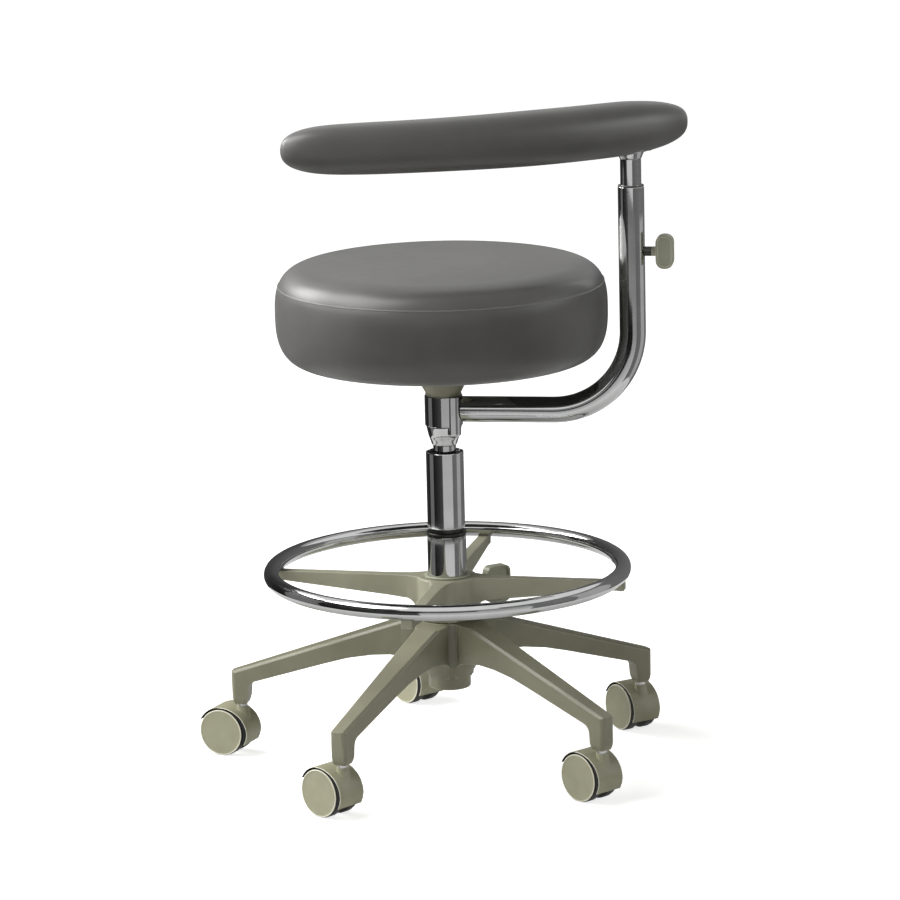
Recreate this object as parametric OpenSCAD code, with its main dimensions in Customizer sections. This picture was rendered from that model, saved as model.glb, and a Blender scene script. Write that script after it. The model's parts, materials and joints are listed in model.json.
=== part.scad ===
// Dental operator stool: a round seat on a gas lift, a swinging body-support pad, a foot ring
// clamped to the column and a five-arm base on hooded twin-wheel casters.
// The origin is on the floor under the column, Z points up and the near side of the seat is at -Y.

/* [Seat] */
// Largest diameter of the seat cushion
seat_d = 404.5; // [370:0.5:430]
// Cushion and board, from the underside of the board to the crown
seat_h = 121.7; // [100:0.1:134]
// Diameter of the plywood board under the cushion
seat_board_d = 300; // [260:1:320]
// Thickness of the plywood board
seat_board_t = 12; // [9:1:15]
// Side of the square steel plate under the board
seat_plate_w = 150; // [130:1:180]
// Thickness of the steel plate
seat_plate_t = 4; // [3:0.5:6]
// Diameter of the welt at the cushion's seam
welt_d = 3; // [2:0.5:5]

/* [Body support arm] */
// Gap between the side of the seat and the upright part of the arm
arm_gap = 14.55; // [8:0.05:40]
// Outer diameter of the bent tube
arm_tube_d = 31.8; // [30:0.1:36]
// Wall of the bent tube
arm_tube_wall = 1.6; // [1.2:0.1:2]
// Centre line radius of the bend
arm_bend_r = 98; // [80:1:120]
// Height of the upright tube above the level run
arm_rise = 274; // [240:1:320]
// Swing of the arm at rest, seen from above
arm_angle = -8.6; // [-60:0.1:60]
// Outer diameter of the sleeve that turns on the spindle
arm_hub_d = 46.4; // [44:0.1:52]
// Height of that sleeve
arm_hub_h = 37.7; // [36:0.1:46]
// Outer diameter of the post inside the upright tube
post_d = 25.4; // [22:0.1:26]
// Wall of the post
post_wall = 2; // [1.5:0.1:3]
// Length of post that shows at rest
post_show = 32; // [20:1:60]
// How far the post can go up from rest
post_up = 40; // [20:1:50]
// How far the post can go down from rest
post_down = 25; // [10:1:28]

/* [Body support pad] */
// Height of the pad at its fullest
pad_h = 65; // [54:1:76]
// Depth of the pad at its fullest
pad_depth = 58; // [50:1:66]
// Centre line radius of the pad, seen from above
pad_arc_r = 657; // [500:1:900]
// Length of pad from the post to the long end
pad_long = 441; // [380:1:480]
// Length of pad from the post to the short end
pad_short = 89; // [80:1:110]
// Turn of the pad on its post, from the arm's own direction
pad_angle = 45; // [0:1:90]
// Thickness of the board in the pad
pad_board_t = 10; // [8:1:12]
// Width of the board in the pad
pad_board_w = 34; // [30:1:38]

/* [Knobs] */
// Height of the arm's paddle knob
arm_knob_h = 41; // [34:1:50]
// Length of the arm's paddle knob along its screw
arm_knob_l = 21.4; // [18:0.1:28]
// Thickness of the arm's paddle knob
arm_knob_t = 15; // [13:0.5:18]
// Height of the foot ring's paddle knob
ring_knob_h = 46; // [42:1:54]
// Length of the foot ring's paddle knob along its screw
ring_knob_l = 33; // [28:1:38]
// Thickness of the foot ring's paddle knob
ring_knob_t = 13; // [12:0.5:16]

/* [Column] */
// Outer diameter of the lower chrome tube
lower_tube_d = 47.8; // [46:0.1:49]
// Outer diameter of the upper chrome tube
upper_tube_d = 46.2; // [44:0.1:47.6]
// Wall of both chrome tubes
column_wall = 2; // [1.5:0.1:2.5]
// Height of the dark groove between the two tubes
groove_h = 10; // [8:0.5:16]
// Length of the upper chrome tube
upper_tube_h = 94.5; // [84:0.5:110]
// Outer diameter of the gas cylinder
cylinder_d = 28; // [26:0.1:30]
// Length of cylinder that shows over the column at rest
neck_show = 8.5; // [4:0.5:20]
// Diameter of the piston rod
rod_d = 10; // [8:0.5:12]
// Stroke of the gas lift
lift_stroke = 150; // [100:1:160]

/* [Foot ring] */
// Centre line radius of the foot ring
foot_ring_r = 216; // [195:0.5:235]
// Outer diameter of the ring's tube
foot_tube_d = 19; // [16:0.5:22]
// Wall of the ring's tube
foot_tube_wall = 1.5; // [1:0.1:2]
// Number of arms that carry the ring
spider_arms = 4; // [3:1:5]
// Angle of the first arm, seen from above
spider_angle = 77; // [0:0.5:90]
// Width of an arm
spider_arm_w = 13.5; // [12:0.5:18]
// Height of the hub that slides on the column
spider_hub_h = 52.7; // [46:0.1:60]
// Outer diameter of that hub
spider_hub_d = 74; // [70:1:80]
// Travel of the foot ring along the column
ring_travel = 49; // [20:1:60]

/* [Base] */
// Radius of the circle that the caster stems stand on
base_reach = 264.4; // [240:0.1:290]
// Number of arms and casters
base_arms = 5; // [5:1:5]
// Angle of the first arm, seen from above
base_angle = 168.7; // [160:0.1:175]
// Height of the socket at the end of an arm
socket_h = 41.5; // [36:0.5:46]
// Rise from the top of the sockets to the top of the hub
base_rise = 75.7; // [60:0.1:86]
// Height of the hub boss
base_hub_h = 87; // [80:1:92]
// Diameter of the hub under the foot ring
base_hub_d = 76; // [72:1:84]
// Width of an arm beside the hub
base_root_w = 33; // [30:0.5:38]
// Width of an arm at its end
base_tip_w = 21; // [20:0.5:24]
// Wall of the hollow arms
base_wall = 4; // [3:0.5:5]

/* [Casters] */
// Diameter of the wheels
wheel_d = 60; // [56:1:66]
// Width over both wheels
caster_w = 40; // [38:1:46]
// Distance from the stem to the axle, seen from above
caster_trail = 22; // [21:0.5:24]
// Gap between the top of a hood and the arm above it
stem_show = 4.3; // [3:0.1:6]
// Diameter of the stem
stem_d = 8; // [7:0.5:9]
// Diameter of the axle
axle_d = 6; // [5:0.5:7]
// Turn of each caster about its stem at rest, seen from above
caster_angles = [154.4, 136.1, 131.5, 121.5, 128];

/* [Fits] */
// Radial clearance where a shaft or a pin turns or slides
run_gap = 0.1; // [0.05:0.01:0.12]
// Clearance between pieces that move past each other
clear_gap = 0.3; // [0.25:0.05:0.5]
// Clearance where one piece is pressed or glued into another
press_gap = 0.04; // [0.02:0.01:0.08]

/* [Hidden] */
$fn = 72;
cut = 1;

// Casters
hood_wall = 1.7;
hood_r = wheel_d / 2 + clear_gap + hood_wall;
axle_z = wheel_d / 2;
hood_top = axle_z + hood_r;
face_stand = 0.8;
hood_w = caster_w - 2 * face_stand;
hood_nose_r = 14;
hood_front = hood_r - caster_trail;
hood_stem_side_end = 32;
hood_trail_side_end = 10;
hood_edge = 3;
stem_boss_d = 12.5;
stem_flange_d = 12;
wheel_inner_y = stem_boss_d / 2 + clear_gap;
tread_lip = 1.5;
disc_rim_d = wheel_d - 2 * tread_lip;
disc_stand = 2.6;
tread_w = caster_w / 2 - wheel_inner_y - disc_stand;
disc_dish = 1.2;
axle_cover = 4;
axle_half = caster_w / 2 - axle_cover;
socket_bottom = hood_top + stem_show;
socket_top = socket_bottom + socket_h;
sleeve_wall = 2;
sleeve_d = stem_d + 2 * sleeve_wall;
sleeve_roof = 6;
sleeve_h = socket_h - sleeve_roof;
stem_into_hood = 24;
stem_room = 2;
stem_into_sleeve = sleeve_h - stem_room;

// Base
base_top = socket_top + base_rise;
base_bottom = base_top - base_hub_h;
boss_d = 52;
socket_half = base_tip_w / 2;
end_lip = 1.5;
arm_end_r = base_reach + socket_half + end_lip;
arm_inner_end_r = base_reach - socket_half;
base_top_drop = 3;
base_shoulder = 20;
base_shoulder_r = base_hub_d / 2 + base_shoulder;
arm_slope = (base_top - base_top_drop - socket_top) / (arm_end_r - base_shoulder_r);
arm_depth = 38.4;
arm_depth_shares = [[0.877, 0.58], [0.715, 0.62], [0.58, 0.655], [0.473, 0.7], [0.36, 0.83], [0.27, 1]];
arm_chamfer = 3;
end_draft = 1.6;
boss_fillet = 24;
boss_h = 15;
socket_fillet = 12;

// Column, from the floor up
lower_r = lower_tube_d / 2;
upper_r = upper_tube_d / 2;
column_taper = 2.6;
taper_h = 52;
ring_rest = base_top + clear_gap;
ring_hub_top = ring_rest + spider_hub_h;
liner_flange_h = 2.2;
liner_wall = 2.6;
stop_ring_h = 3;
groove_bottom = ring_hub_top + liner_flange_h + ring_travel + clear_gap;
groove_top = groove_bottom + groove_h;
column_top = groove_top + upper_tube_h;
spigot_r = lower_r - column_wall - press_gap;
groove_step = 0.5;
groove_r = upper_r - column_wall - groove_step;
spigot_reach = 26;
bush_recess = 4;
bush_h = 48;
foot_plate_t = 4;
rod_clip_t = 1.6;
rod_tail = 5;
rod_edge = 1;
rod_shoulder_h = 3;
buffer_h = 22;
bearing_h = 5;
bearing_d = 30;
shoulder_bottom = base_bottom + foot_plate_t + clear_gap + bearing_h + press_gap;
shoulder_top = shoulder_bottom + rod_shoulder_h;
cylinder_bottom = shoulder_top + press_gap + buffer_h + clear_gap;
cylinder_end_t = 14;
cylinder_wall = 2;
piston_h = 12;

// Spindle, arm hub and seat, from the column up
retainer_bottom = column_top + neck_show;
retainer_h = 24;
hub_bottom = retainer_bottom + retainer_h + clear_gap;
hub_top = hub_bottom + arm_hub_h;
spindle_r = 17.6;
spindle_thread_h = 11;
spindle_bottom = hub_bottom - spindle_thread_h;
collar_bottom = hub_top + clear_gap;
collar_low_r = 22;
collar_top_r = 30;
collar_straight_h = 3;
collar_cone_h = 15;
collar_wall = 4;
collar_h = 38.7;
plate_bottom = collar_bottom + collar_h;
board_bottom = plate_bottom + seat_plate_t;
cone_start = hub_bottom;
cone_h = 44;
cone_drop = 0.8;
cylinder_top = cone_start + cone_h;
release_pin_d = 8;
release_pin_show = 5;
cup_shares = [[0, 0.67], [0.03, 0.7], [0.12, 0.735], [0.3, 0.795], [0.5, 0.877], [0.97, 0.99], [1, 0.98]];
hub_boss_r = 11;
hub_boss_reach = 26.5;
hub_boss_drop = 13;
hub_boss_angle = -42;
hub_boss_round = 5;
hub_bush_h = 11;
hub_bush_wall = 1.7;
hub_bore_r = spindle_r + run_gap + hub_bush_wall + press_gap;

// Release lever
lever_d = 7;
lever_z = cylinder_top + release_pin_show + lever_d / 2 + clear_gap;
lever_pivot_y = 20;
lever_bend_y = 60;
lever_end_y = 140;
lever_drop = 3;
lever_trunnion_d = 5;
lever_trunnion_l = 18;
lever_side_room = 1;
lever_slot_w = lever_d + 2 * lever_side_room;
grip_l = 44;
grip_w = 24;
grip_t = 5;

// Seat cushion
seat_r = seat_d / 2;
seat_wide_share = 0.516;
seat_bottom_r_share = 0.761;
seat_top_r_share = 0.733;
seat_crown_share = 0.014;
seat_low_power = 2.83;
seat_high_power = 2.86;
seat_steps = 9;
seam_share = 0.785;
screw_circle_share = 0.36;
seat_screw_d = 6;
seat_screw_head_d = 12;
seat_screw_head_h = 3;
seat_screw_circle = seat_plate_w * screw_circle_share * sqrt(2);

// Arm and post
arm_reach = seat_d / 2 + arm_gap + arm_tube_d / 2;
level_lift = 0.8;
level_z = (hub_bottom + hub_top) / 2 + level_lift;
bend_end_z = level_z + arm_bend_r;
tube_top = level_z + arm_rise;
tube_r = arm_tube_d / 2;
tube_bore_r = tube_r - arm_tube_wall;
post_r = post_d / 2;
liner_top_h = 1.6;
post_room = 2;
post_bottom = bend_end_z + post_down + post_room;
post_top = tube_top + liner_top_h + post_show;
tube_liner_bottom = bend_end_z + 2 * post_room;
nut_d = 11.6;
nut_h = 8;
knob_drop = 79;
knob_z = tube_top - knob_drop;
knob_screw_d = 6;
knob_neck_h = 5;
knob_gap = clear_gap;

// Pad
cone_gap = clear_gap;
bracket_cone_h = 8.5;
bracket_cone_r = 17;
bracket_plate_t = 3.6;
bracket_plate_l = 78;
pad_flat_share = 0.75;
pad_board_bottom = post_top + cone_gap + bracket_cone_h + bracket_plate_t;
pad_mid_z = pad_board_bottom + pad_flat_share * pad_h / 2;
bracket_spigot_h = 50;
pad_board_long = 262;
pad_board_short = 46;
pad_shares = [
    [0.0015, 0.12], [0.006, 0.24], [0.013, 0.35], [0.0245, 0.47], [0.04, 0.59], [0.0585, 0.7],
    [0.081, 0.79], [0.113, 0.855], [0.151, 0.897], [0.198, 0.925], [0.264, 0.94], [0.349, 0.955],
    [0.462, 0.98], [0.566, 1], [0.698, 1], [0.792, 0.99], [0.832, 0.97], [0.862, 0.93],
    [0.892, 0.88], [0.925, 0.8], [0.953, 0.69], [0.972, 0.58], [0.985, 0.45], [0.9945, 0.28],
    [0.9987, 0.13]
];
pad_sides = 24;
pad_power = 2.6;
pad_screw_d = 5;
pad_screw_head_d = 9;
pad_screw_head_h = 2.4;
pad_screw_x = bracket_plate_l * 0.36;

// Foot ring
foot_sink = 2;
spider_top = ring_hub_top;
foot_ring_z = spider_top - foot_sink + foot_tube_d / 2;
foot_r = foot_tube_d / 2;
ring_screw_d = 5;
ring_screw_head_d = 8;
ring_screw_head_h = 1.6;
spider_end_r = foot_ring_r + ring_screw_d;
liner_r = lower_r + clear_gap + liner_wall;
spider_end_depth = 11.5;
spider_root_depth = 28;
spider_fillet = 15;
ring_knob_angle = spider_angle - 180 / spider_arms;
ring_knob_z = ring_rest + spider_hub_h * 0.6;
ring_screw_rod_d = 8;
ring_knob_stand = 18;

// Paddle knobs
dish_rim = 2.6;
arm_knob_dish = 0.6;
ring_knob_dish = 2.4;
arm_knob_corner = arm_knob_l * 0.44;
ring_knob_corner = ring_knob_l * 0.24;

// Points of an arc, from angle a to angle b in n steps
function arc(centre, r, a, b, n) =
    [for (i = [0:n]) centre + r * [cos(a + (b - a) * i / n), sin(a + (b - a) * i / n)]];

// Stands a shape at the end of base arm k
module at_stem(k) {
    rotate([0, 0, base_angle + 360 / base_arms * (k - 1)])
        translate([base_reach, 0, 0]) children();
}

// Stands a shape on caster k, with its own X from the stem towards the axle
module at_caster(k) {
    a = base_angle + 360 / base_arms * (k - 1);
    translate([base_reach * cos(a), base_reach * sin(a), 0])
        rotate([0, 0, caster_angles[k - 1]]) children();
}

// A tube standing on z
module tube(r, bore, z, h) {
    translate([0, 0, z]) difference() {
        cylinder(r = r, h = h);
        translate([0, 0, -cut]) cylinder(r = bore, h = h + 2 * cut);
    }
}

// Height of an arm's top line at a distance from the column
function arm_top(r) = base_top - base_top_drop - (r - base_shoulder_r) * arm_slope;

// Side view of a base arm: distance from the column, height
function arm_side() = concat(
    [[0, base_top - base_wall / 8], [base_hub_d / 2, base_top - base_wall / 8]],
    [[base_shoulder_r, arm_top(base_shoulder_r)]],
    [[arm_end_r, arm_top(arm_end_r)], [arm_end_r - end_draft, socket_bottom]],
    [[arm_inner_end_r + end_draft, socket_bottom]],
    arc([arm_inner_end_r - socket_fillet, arm_top(arm_inner_end_r) - arm_depth * 0.48 - socket_fillet],
        socket_fillet, 0, 72, 6),
    [for (q = arm_depth_shares) [q[0] * base_reach, arm_top(q[0] * base_reach) - q[1] * arm_depth]],
    arc([boss_d / 2 + boss_fillet, base_bottom + boss_h], boss_fillet, 90, 180, 8),
    [[0, base_bottom + boss_h]]
);

// Plan of a base arm, its flare into the hub included
function arm_plan(inset) =
    let (end = arm_end_r - inset, root = base_root_w / 2 - inset, tip = base_tip_w / 2 - inset,
        corner = tip * 0.6,
        side = concat(
            [[base_hub_d / 4, root * 0.61], [base_hub_d / 2, root * 1.22], [base_shoulder_r, root]],
            arc([end - corner, tip - corner], corner, 90, 0, 4)))
    concat(side, [for (i = [len(side) - 1:-1:0]) [side[i][0], -side[i][1]]]);

module base_arm() {
    run = arm_end_r - base_shoulder_r;
    fall = arm_top(base_shoulder_r) - arm_top(arm_end_r);
    taper = atan((base_root_w - base_tip_w) / 2 / run);
    difference() {
        intersection() {
            translate([0, base_hub_d, 0]) rotate([90, 0, 0])
                linear_extrude(2 * base_hub_d) polygon(arm_side());
            linear_extrude(base_top + cut) polygon(arm_plan(0));
        }
        for (s = [-1, 1]) translate([base_shoulder_r, s * base_root_w / 2, arm_top(base_shoulder_r)])
            rotate([0, 0, -s * taper]) rotate([0, atan(fall / run), 0]) rotate([45, 0, 0])
                translate([-arm_chamfer, -arm_chamfer / sqrt(2), -arm_chamfer / sqrt(2)])
                    cube([2 * run, arm_chamfer * sqrt(2), arm_chamfer * sqrt(2)]);
    }
}

// The hollow of an arm, open underneath, between the hub and the socket
module arm_hollow() {
    ceiling = 2 * base_wall;
    intersection() {
        translate([0, base_hub_d, 0]) rotate([90, 0, 0]) linear_extrude(2 * base_hub_d)
            polygon([
                [base_hub_d / 2 + base_wall, 0],
                [arm_inner_end_r - base_wall, 0],
                [arm_inner_end_r - base_wall, arm_top(arm_inner_end_r) - ceiling],
                [base_hub_d / 2 + base_wall, arm_top(base_hub_d / 2 + base_wall) - ceiling]
            ]);
        linear_extrude(base_top) polygon(arm_plan(base_wall));
    }
}

// Five cast arms on a hub, hollow underneath, with a socket for each caster
module base_casting() color("#8c8a77") {
    difference() {
        union() {
            for (k = [1:base_arms]) rotate([0, 0, base_angle + 360 / base_arms * (k - 1)])
                difference() {
                    base_arm();
                    arm_hollow();
                }
            rotate_extrude() polygon([
                [0, base_bottom], [boss_d / 2 - base_wall / 4, base_bottom],
                [boss_d / 2, base_bottom + base_wall / 4],
                [boss_d / 2, base_bottom + boss_h - base_wall / 2],
                [base_hub_d / 2, base_bottom + boss_h + 0.8 * boss_fillet],
                [base_hub_d / 2, base_top - base_wall / 4],
                [base_hub_d / 2 - base_wall / 4, base_top], [0, base_top]
            ]);
        }
        translate([0, 0, base_bottom - cut])
            cylinder(r = lower_r - column_taper + press_gap, h = 2 * cut);
        translate([0, 0, base_bottom])
            cylinder(r1 = lower_r - column_taper + press_gap, r2 = lower_r + press_gap, h = taper_h);
        translate([0, 0, base_bottom + taper_h - press_gap])
            cylinder(r = lower_r + press_gap, h = base_hub_h);
        for (k = [1:base_arms]) at_stem(k) translate([0, 0, socket_bottom - cut])
            cylinder(d = sleeve_d + 2 * press_gap, h = sleeve_h + cut + press_gap);
    }
}

// Steel sleeves pressed into the arm ends, one for each caster stem
module stem_sleeves() color("#a9a9a6") {
    for (k = [1:base_arms]) at_stem(k)
        tube(sleeve_d / 2, stem_d / 2 + run_gap, socket_bottom, sleeve_h);
}

// Stands a flat outline upright in a caster's own plane, w thick
module across(w) {
    translate([0, w / 2, 0]) rotate([90, 0, 0]) linear_extrude(w) children();
}

// Turns a shape so that its Z lies along a caster's axle
module on_axle() {
    translate([caster_trail, 0, axle_z]) rotate([-90, 0, 0]) children();
}

// Drum of a hood with rounded rims, and its squarer nose by the stem
module hood_form() {
    half = hood_w / 2;
    e = hood_edge;
    on_axle() rotate_extrude() polygon(concat(
        [[0, -half]], arc([hood_r - e, e - half], e, -90, 0, 4),
        arc([hood_r - e, half - e], e, 0, 90, 4), [[0, half]]
    ));
    intersection() {
        across(hood_w) polygon(concat(
            [[caster_trail, axle_z], [caster_trail, hood_top]],
            arc([hood_nose_r - hood_front, hood_top - hood_nose_r], hood_nose_r, 90, 180, 6),
            [[-hood_front, axle_z]]
        ));
        linear_extrude(hood_top + cut) polygon(concat(
            [[caster_trail, half], [caster_trail, -half]],
            arc([2 * e - hood_front, 2 * e - half], 2 * e, -90, -180, 4),
            arc([2 * e - hood_front, half - 2 * e], 2 * e, 180, 90, 4)
        ));
        translate([-hood_r, 0, 0]) rotate([90, 0, 90]) linear_extrude(3 * hood_r) polygon(concat(
            [[-half, 0], [half, 0]], arc([half - e, hood_top - e], e, 0, 90, 4),
            arc([e - half, hood_top - e], e, 90, 180, 4)
        ));
    }
}

// Plastic hood over both wheels, with the web that holds the stem and the axle
module caster_hood(k) color("#a6a389") at_caster(k) {
    web = stem_boss_d;
    room = wheel_d / 2 + clear_gap;
    far = 3 * hood_r;
    difference() {
        hood_form();
        for (s = [-1, 1]) on_axle() translate([0, 0, s > 0 ? web / 2 : -far - web / 2])
            cylinder(r = room, h = far);
        across(far) polygon([
            [caster_trail, axle_z - wheel_d / 6],
            [caster_trail + far, axle_z - far * tan(hood_trail_side_end)],
            [caster_trail + far, -far], [-far, -far],
            [caster_trail - far, axle_z - far * tan(hood_stem_side_end)]
        ]);
        translate([0, 0, hood_top - stem_into_hood])
            cylinder(d = stem_d + 2 * press_gap, h = stem_into_hood + cut);
        on_axle() translate([0, 0, -web]) cylinder(d = axle_d + 2 * press_gap, h = 2 * web);
    }
}

// Stem with its flange, and the axle below it
module caster_pins(k) color("#c4c4c1") at_caster(k) {
    stem_low = hood_top - stem_into_hood + press_gap;
    union() {
        translate([0, 0, stem_low]) cylinder(d = stem_d, h = stem_into_hood + stem_show + stem_into_sleeve);
        translate([0, 0, hood_top + press_gap])
            cylinder(d = stem_flange_d, h = stem_show - press_gap - clear_gap);
    }
    translate([caster_trail, axle_half, axle_z]) rotate([90, 0, 0])
        cylinder(d = axle_d, h = 2 * axle_half);
}

// Nylon wheel with a broad face disc; side is 1 or -1 along the axle
module wheel(k, side) color("#9e9c83") at_caster(k)
    translate([caster_trail, 0, axle_z]) rotate([-90 * side, 0, 0]) {
        rim = disc_rim_d / 2;
        face = caster_w / 2;
        tread_end = wheel_inner_y + tread_w;
        edge = disc_dish;
        bore = axle_d / 2 + run_gap;
        rotate_extrude() polygon([
            [bore, wheel_inner_y], [wheel_d / 2 - edge, wheel_inner_y],
            [wheel_d / 2, wheel_inner_y + edge], [wheel_d / 2, tread_end - edge],
            [wheel_d / 2 - edge, tread_end], [rim, tread_end], [rim, face - edge],
            [rim - edge, face], [rim - 2 * edge, face - edge / 3], [0, face - edge / 3],
            [0, axle_half + clear_gap], [bore, axle_half + clear_gap]
        ]);
    }

// Lower chrome tube, tapered where it wedges in the hub
module column_lower() color("#d8d8d6") {
    r = lower_r;
    rotate_extrude() polygon([
        [r - column_taper - column_wall, base_bottom], [r - column_taper, base_bottom],
        [r, base_bottom + taper_h], [r, groove_bottom - column_wall / 4],
        [r - column_wall / 4, groove_bottom], [r - column_wall, groove_bottom],
        [r - column_wall, base_bottom + taper_h]
    ]);
}

// Dark sleeve that joins the two chrome tubes and shows in the groove
module column_spigot() color("#3b3b38") {
    low = groove_bottom - spigot_reach;
    high = groove_top + spigot_reach;
    narrow = upper_r - column_wall - press_gap;
    bore = narrow - column_wall;
    rotate_extrude() polygon([
        [bore, low], [spigot_r, low], [spigot_r, groove_bottom], [groove_r, groove_bottom],
        [groove_r, groove_top], [narrow, groove_top], [narrow, high], [bore, high]
    ]);
}

// Split ring in the groove that stops the foot ring's hub
module stop_ring() color("#5a5a57") {
    gap_w = stop_ring_h;
    difference() {
        tube(lower_r + stop_ring_h / 4, groove_r + press_gap,
            groove_bottom + stop_ring_h / 2, stop_ring_h);
        translate([0, -gap_w / 2, groove_bottom]) cube([lower_r * 2, gap_w, groove_h]);
    }
}

// Upper chrome tube
module column_upper() color("#d8d8d6") {
    edge = column_wall / 3;
    rotate_extrude() polygon([
        [upper_r - column_wall, groove_top], [upper_r - edge, groove_top],
        [upper_r, groove_top + edge], [upper_r, column_top - edge],
        [upper_r - edge, column_top], [upper_r - column_wall + edge, column_top],
        [upper_r - column_wall, column_top - edge]
    ]);
}

// Plastic bush at the top of the column that guides the gas cylinder
module guide_bush() color("#2c2c2b") {
    lip = column_wall;
    outer = upper_r - column_wall - press_gap;
    low = column_top - bush_recess - bush_h;
    high = column_top - bush_recess;
    bore = cylinder_d / 2 + run_gap;
    rotate_extrude() polygon([
        [bore, low], [outer - lip, low], [outer, low + lip], [outer, high - lip],
        [outer - lip, high], [bore + lip / 2, high], [bore, high - lip / 2]
    ]);
}

// Plate that closes the foot of the column and holds the rod
module column_foot() color("#8f8f8c") {
    inner = lower_r - column_taper - column_wall - press_gap;
    tube(inner, rod_d / 2 + run_gap, base_bottom, foot_plate_t);
}

// Rod that stands on the foot plate, with the piston at its top
module piston_rod() color("#cfcfcc") {
    piston_low = cylinder_top - cylinder_end_t - piston_h - column_wall;
    rotate_extrude() polygon([
        [0, base_bottom - rod_tail], [rod_d / 2 - rod_edge, base_bottom - rod_tail],
        [rod_d / 2, base_bottom - rod_tail + rod_edge],
        [rod_d / 2, base_bottom - clear_gap - rod_clip_t],
        [rod_d / 2 - rod_edge, base_bottom - clear_gap - rod_clip_t],
        [rod_d / 2 - rod_edge, base_bottom - clear_gap], [rod_d / 2, base_bottom - clear_gap],
        [rod_d / 2, shoulder_bottom], [bearing_d / 2 - rod_edge, shoulder_bottom],
        [bearing_d / 2 - rod_edge, shoulder_top], [rod_d / 2, shoulder_top],
        [rod_d / 2, piston_low],
        [cylinder_d / 2 - cylinder_wall - clear_gap, piston_low],
        [cylinder_d / 2 - cylinder_wall - clear_gap, piston_low + piston_h], [0, piston_low + piston_h]
    ]);
}

// Rubber ring on the rod that the cylinder meets at the bottom of its stroke
module lift_buffer() color("#2c2c2b")
    tube(bearing_d / 2 - 2 * rod_edge, rod_d / 2 + press_gap, shoulder_top + press_gap, buffer_h);

// Two races with the ball cage between them, under the rod's shoulder
module thrust_bearing() color("#b5b5b2") {
    race = bearing_h / 4;
    ball = bearing_h / 2;
    z0 = base_bottom + foot_plate_t + clear_gap;
    bore = rod_d / 2 + press_gap;
    track = (bearing_d / 2 + bore) / 2;
    tube(bearing_d / 2, bore, z0, race);
    tube(bearing_d / 2, bore, z0 + bearing_h - race, race);
    tube(track + ball / 2, track - ball / 2, z0 + race, bearing_h - 2 * race);
}

// Split washer in the rod's groove, under the foot plate
module rod_clip() color("#5a5a57") {
    difference() {
        tube(rod_d, rod_d / 2 - rod_edge + press_gap,
            base_bottom - clear_gap - rod_clip_t + press_gap, rod_clip_t - 2 * press_gap);
        translate([0, -rod_d / 4, base_bottom - rod_tail]) cube([2 * rod_d, rod_d / 2, rod_tail]);
    }
}

// Gas cylinder, conical at the top where the spindle grips it
module gas_cylinder() color("#c9c9c7") {
    r = cylinder_d / 2;
    bore = r - cylinder_wall;
    difference() {
        rotate_extrude() polygon([
            [0, cylinder_bottom], [r - rod_edge, cylinder_bottom], [r, cylinder_bottom + rod_edge],
            [r, cone_start], [r - cone_drop, cylinder_top], [0, cylinder_top]
        ]);
        translate([0, 0, cylinder_bottom + cylinder_end_t])
            cylinder(r = bore, h = cylinder_top - cylinder_bottom - 2 * cylinder_end_t);
        translate([0, 0, cylinder_bottom - cut])
            cylinder(r = rod_d / 2 + run_gap, h = cylinder_end_t + 2 * cut);
        translate([0, 0, cylinder_top - cylinder_end_t / 2])
            cylinder(d = release_pin_d + 2 * run_gap, h = cylinder_end_t);
    }
}

// Painted spindle: the socket for the cone, the flared collar and the lever's ears
module seat_spindle() color("#8c8a77") {
    cone_r = cylinder_d / 2 + press_gap;
    room = collar_low_r - collar_wall;
    difference() {
        rotate_extrude() polygon([
            [0, spindle_bottom], [spindle_r, spindle_bottom], [spindle_r, collar_bottom],
            [collar_low_r, collar_bottom], [collar_low_r, collar_bottom + collar_straight_h],
            [collar_top_r, collar_bottom + collar_straight_h + collar_cone_h],
            [collar_top_r, plate_bottom], [0, plate_bottom]
        ]);
        translate([0, 0, spindle_bottom - cut])
            cylinder(r = cone_r, h = cone_start - spindle_bottom + cut + press_gap);
        translate([0, 0, cone_start]) cylinder(r1 = cone_r, r2 = cone_r - cone_drop, h = cone_h);
        translate([0, 0, cylinder_top - press_gap])
            cylinder(r = room, h = plate_bottom - cylinder_top + cut);
        translate([-lever_slot_w / 2, 0, lever_z - lever_d])
            cube([lever_slot_w, 2 * collar_top_r, 2 * lever_d]);
        translate([-lever_trunnion_l / 2 - clear_gap, lever_pivot_y, lever_z]) rotate([0, 90, 0])
            cylinder(d = lever_trunnion_d + 2 * run_gap, h = lever_trunnion_l + 2 * clear_gap);
    }
}

// Chromed cup nut that holds the arm's sleeve up on the spindle
module arm_retainer() color("#d8d8d6") {
    r = collar_low_r;
    neck = cylinder_d / 2;
    bottom = retainer_bottom;
    rotate_extrude() polygon(concat(
        [[neck + press_gap, bottom]], [for (q = cup_shares) [q[1] * r, bottom + q[0] * retainer_h]],
        [
[spindle_r + press_gap, bottom + retainer_h],
        [spindle_r + press_gap, spindle_bottom - press_gap],
        [neck + press_gap, spindle_bottom - press_gap]]
    ));
}

// Square steel plate under the seat board
module seat_plate() color("#8f8f8c") {
    corner = seat_plate_w / 8;
    half = seat_plate_w / 2;
    difference() {
        translate([0, 0, plate_bottom]) linear_extrude(seat_plate_t) polygon(concat(
            arc([half - corner, half - corner], corner, 0, 90, 5),
            arc([corner - half, half - corner], corner, 90, 180, 5),
            arc([corner - half, corner - half], corner, 180, 270, 5),
            arc([half - corner, corner - half], corner, 270, 360, 5)
        ));
        for (i = [0:3]) rotate([0, 0, 45 + 90 * i]) translate([seat_screw_circle, 0, plate_bottom - cut])
            cylinder(d = seat_screw_d + 2 * clear_gap, h = seat_plate_t + 2 * cut);
    }
}

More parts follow.
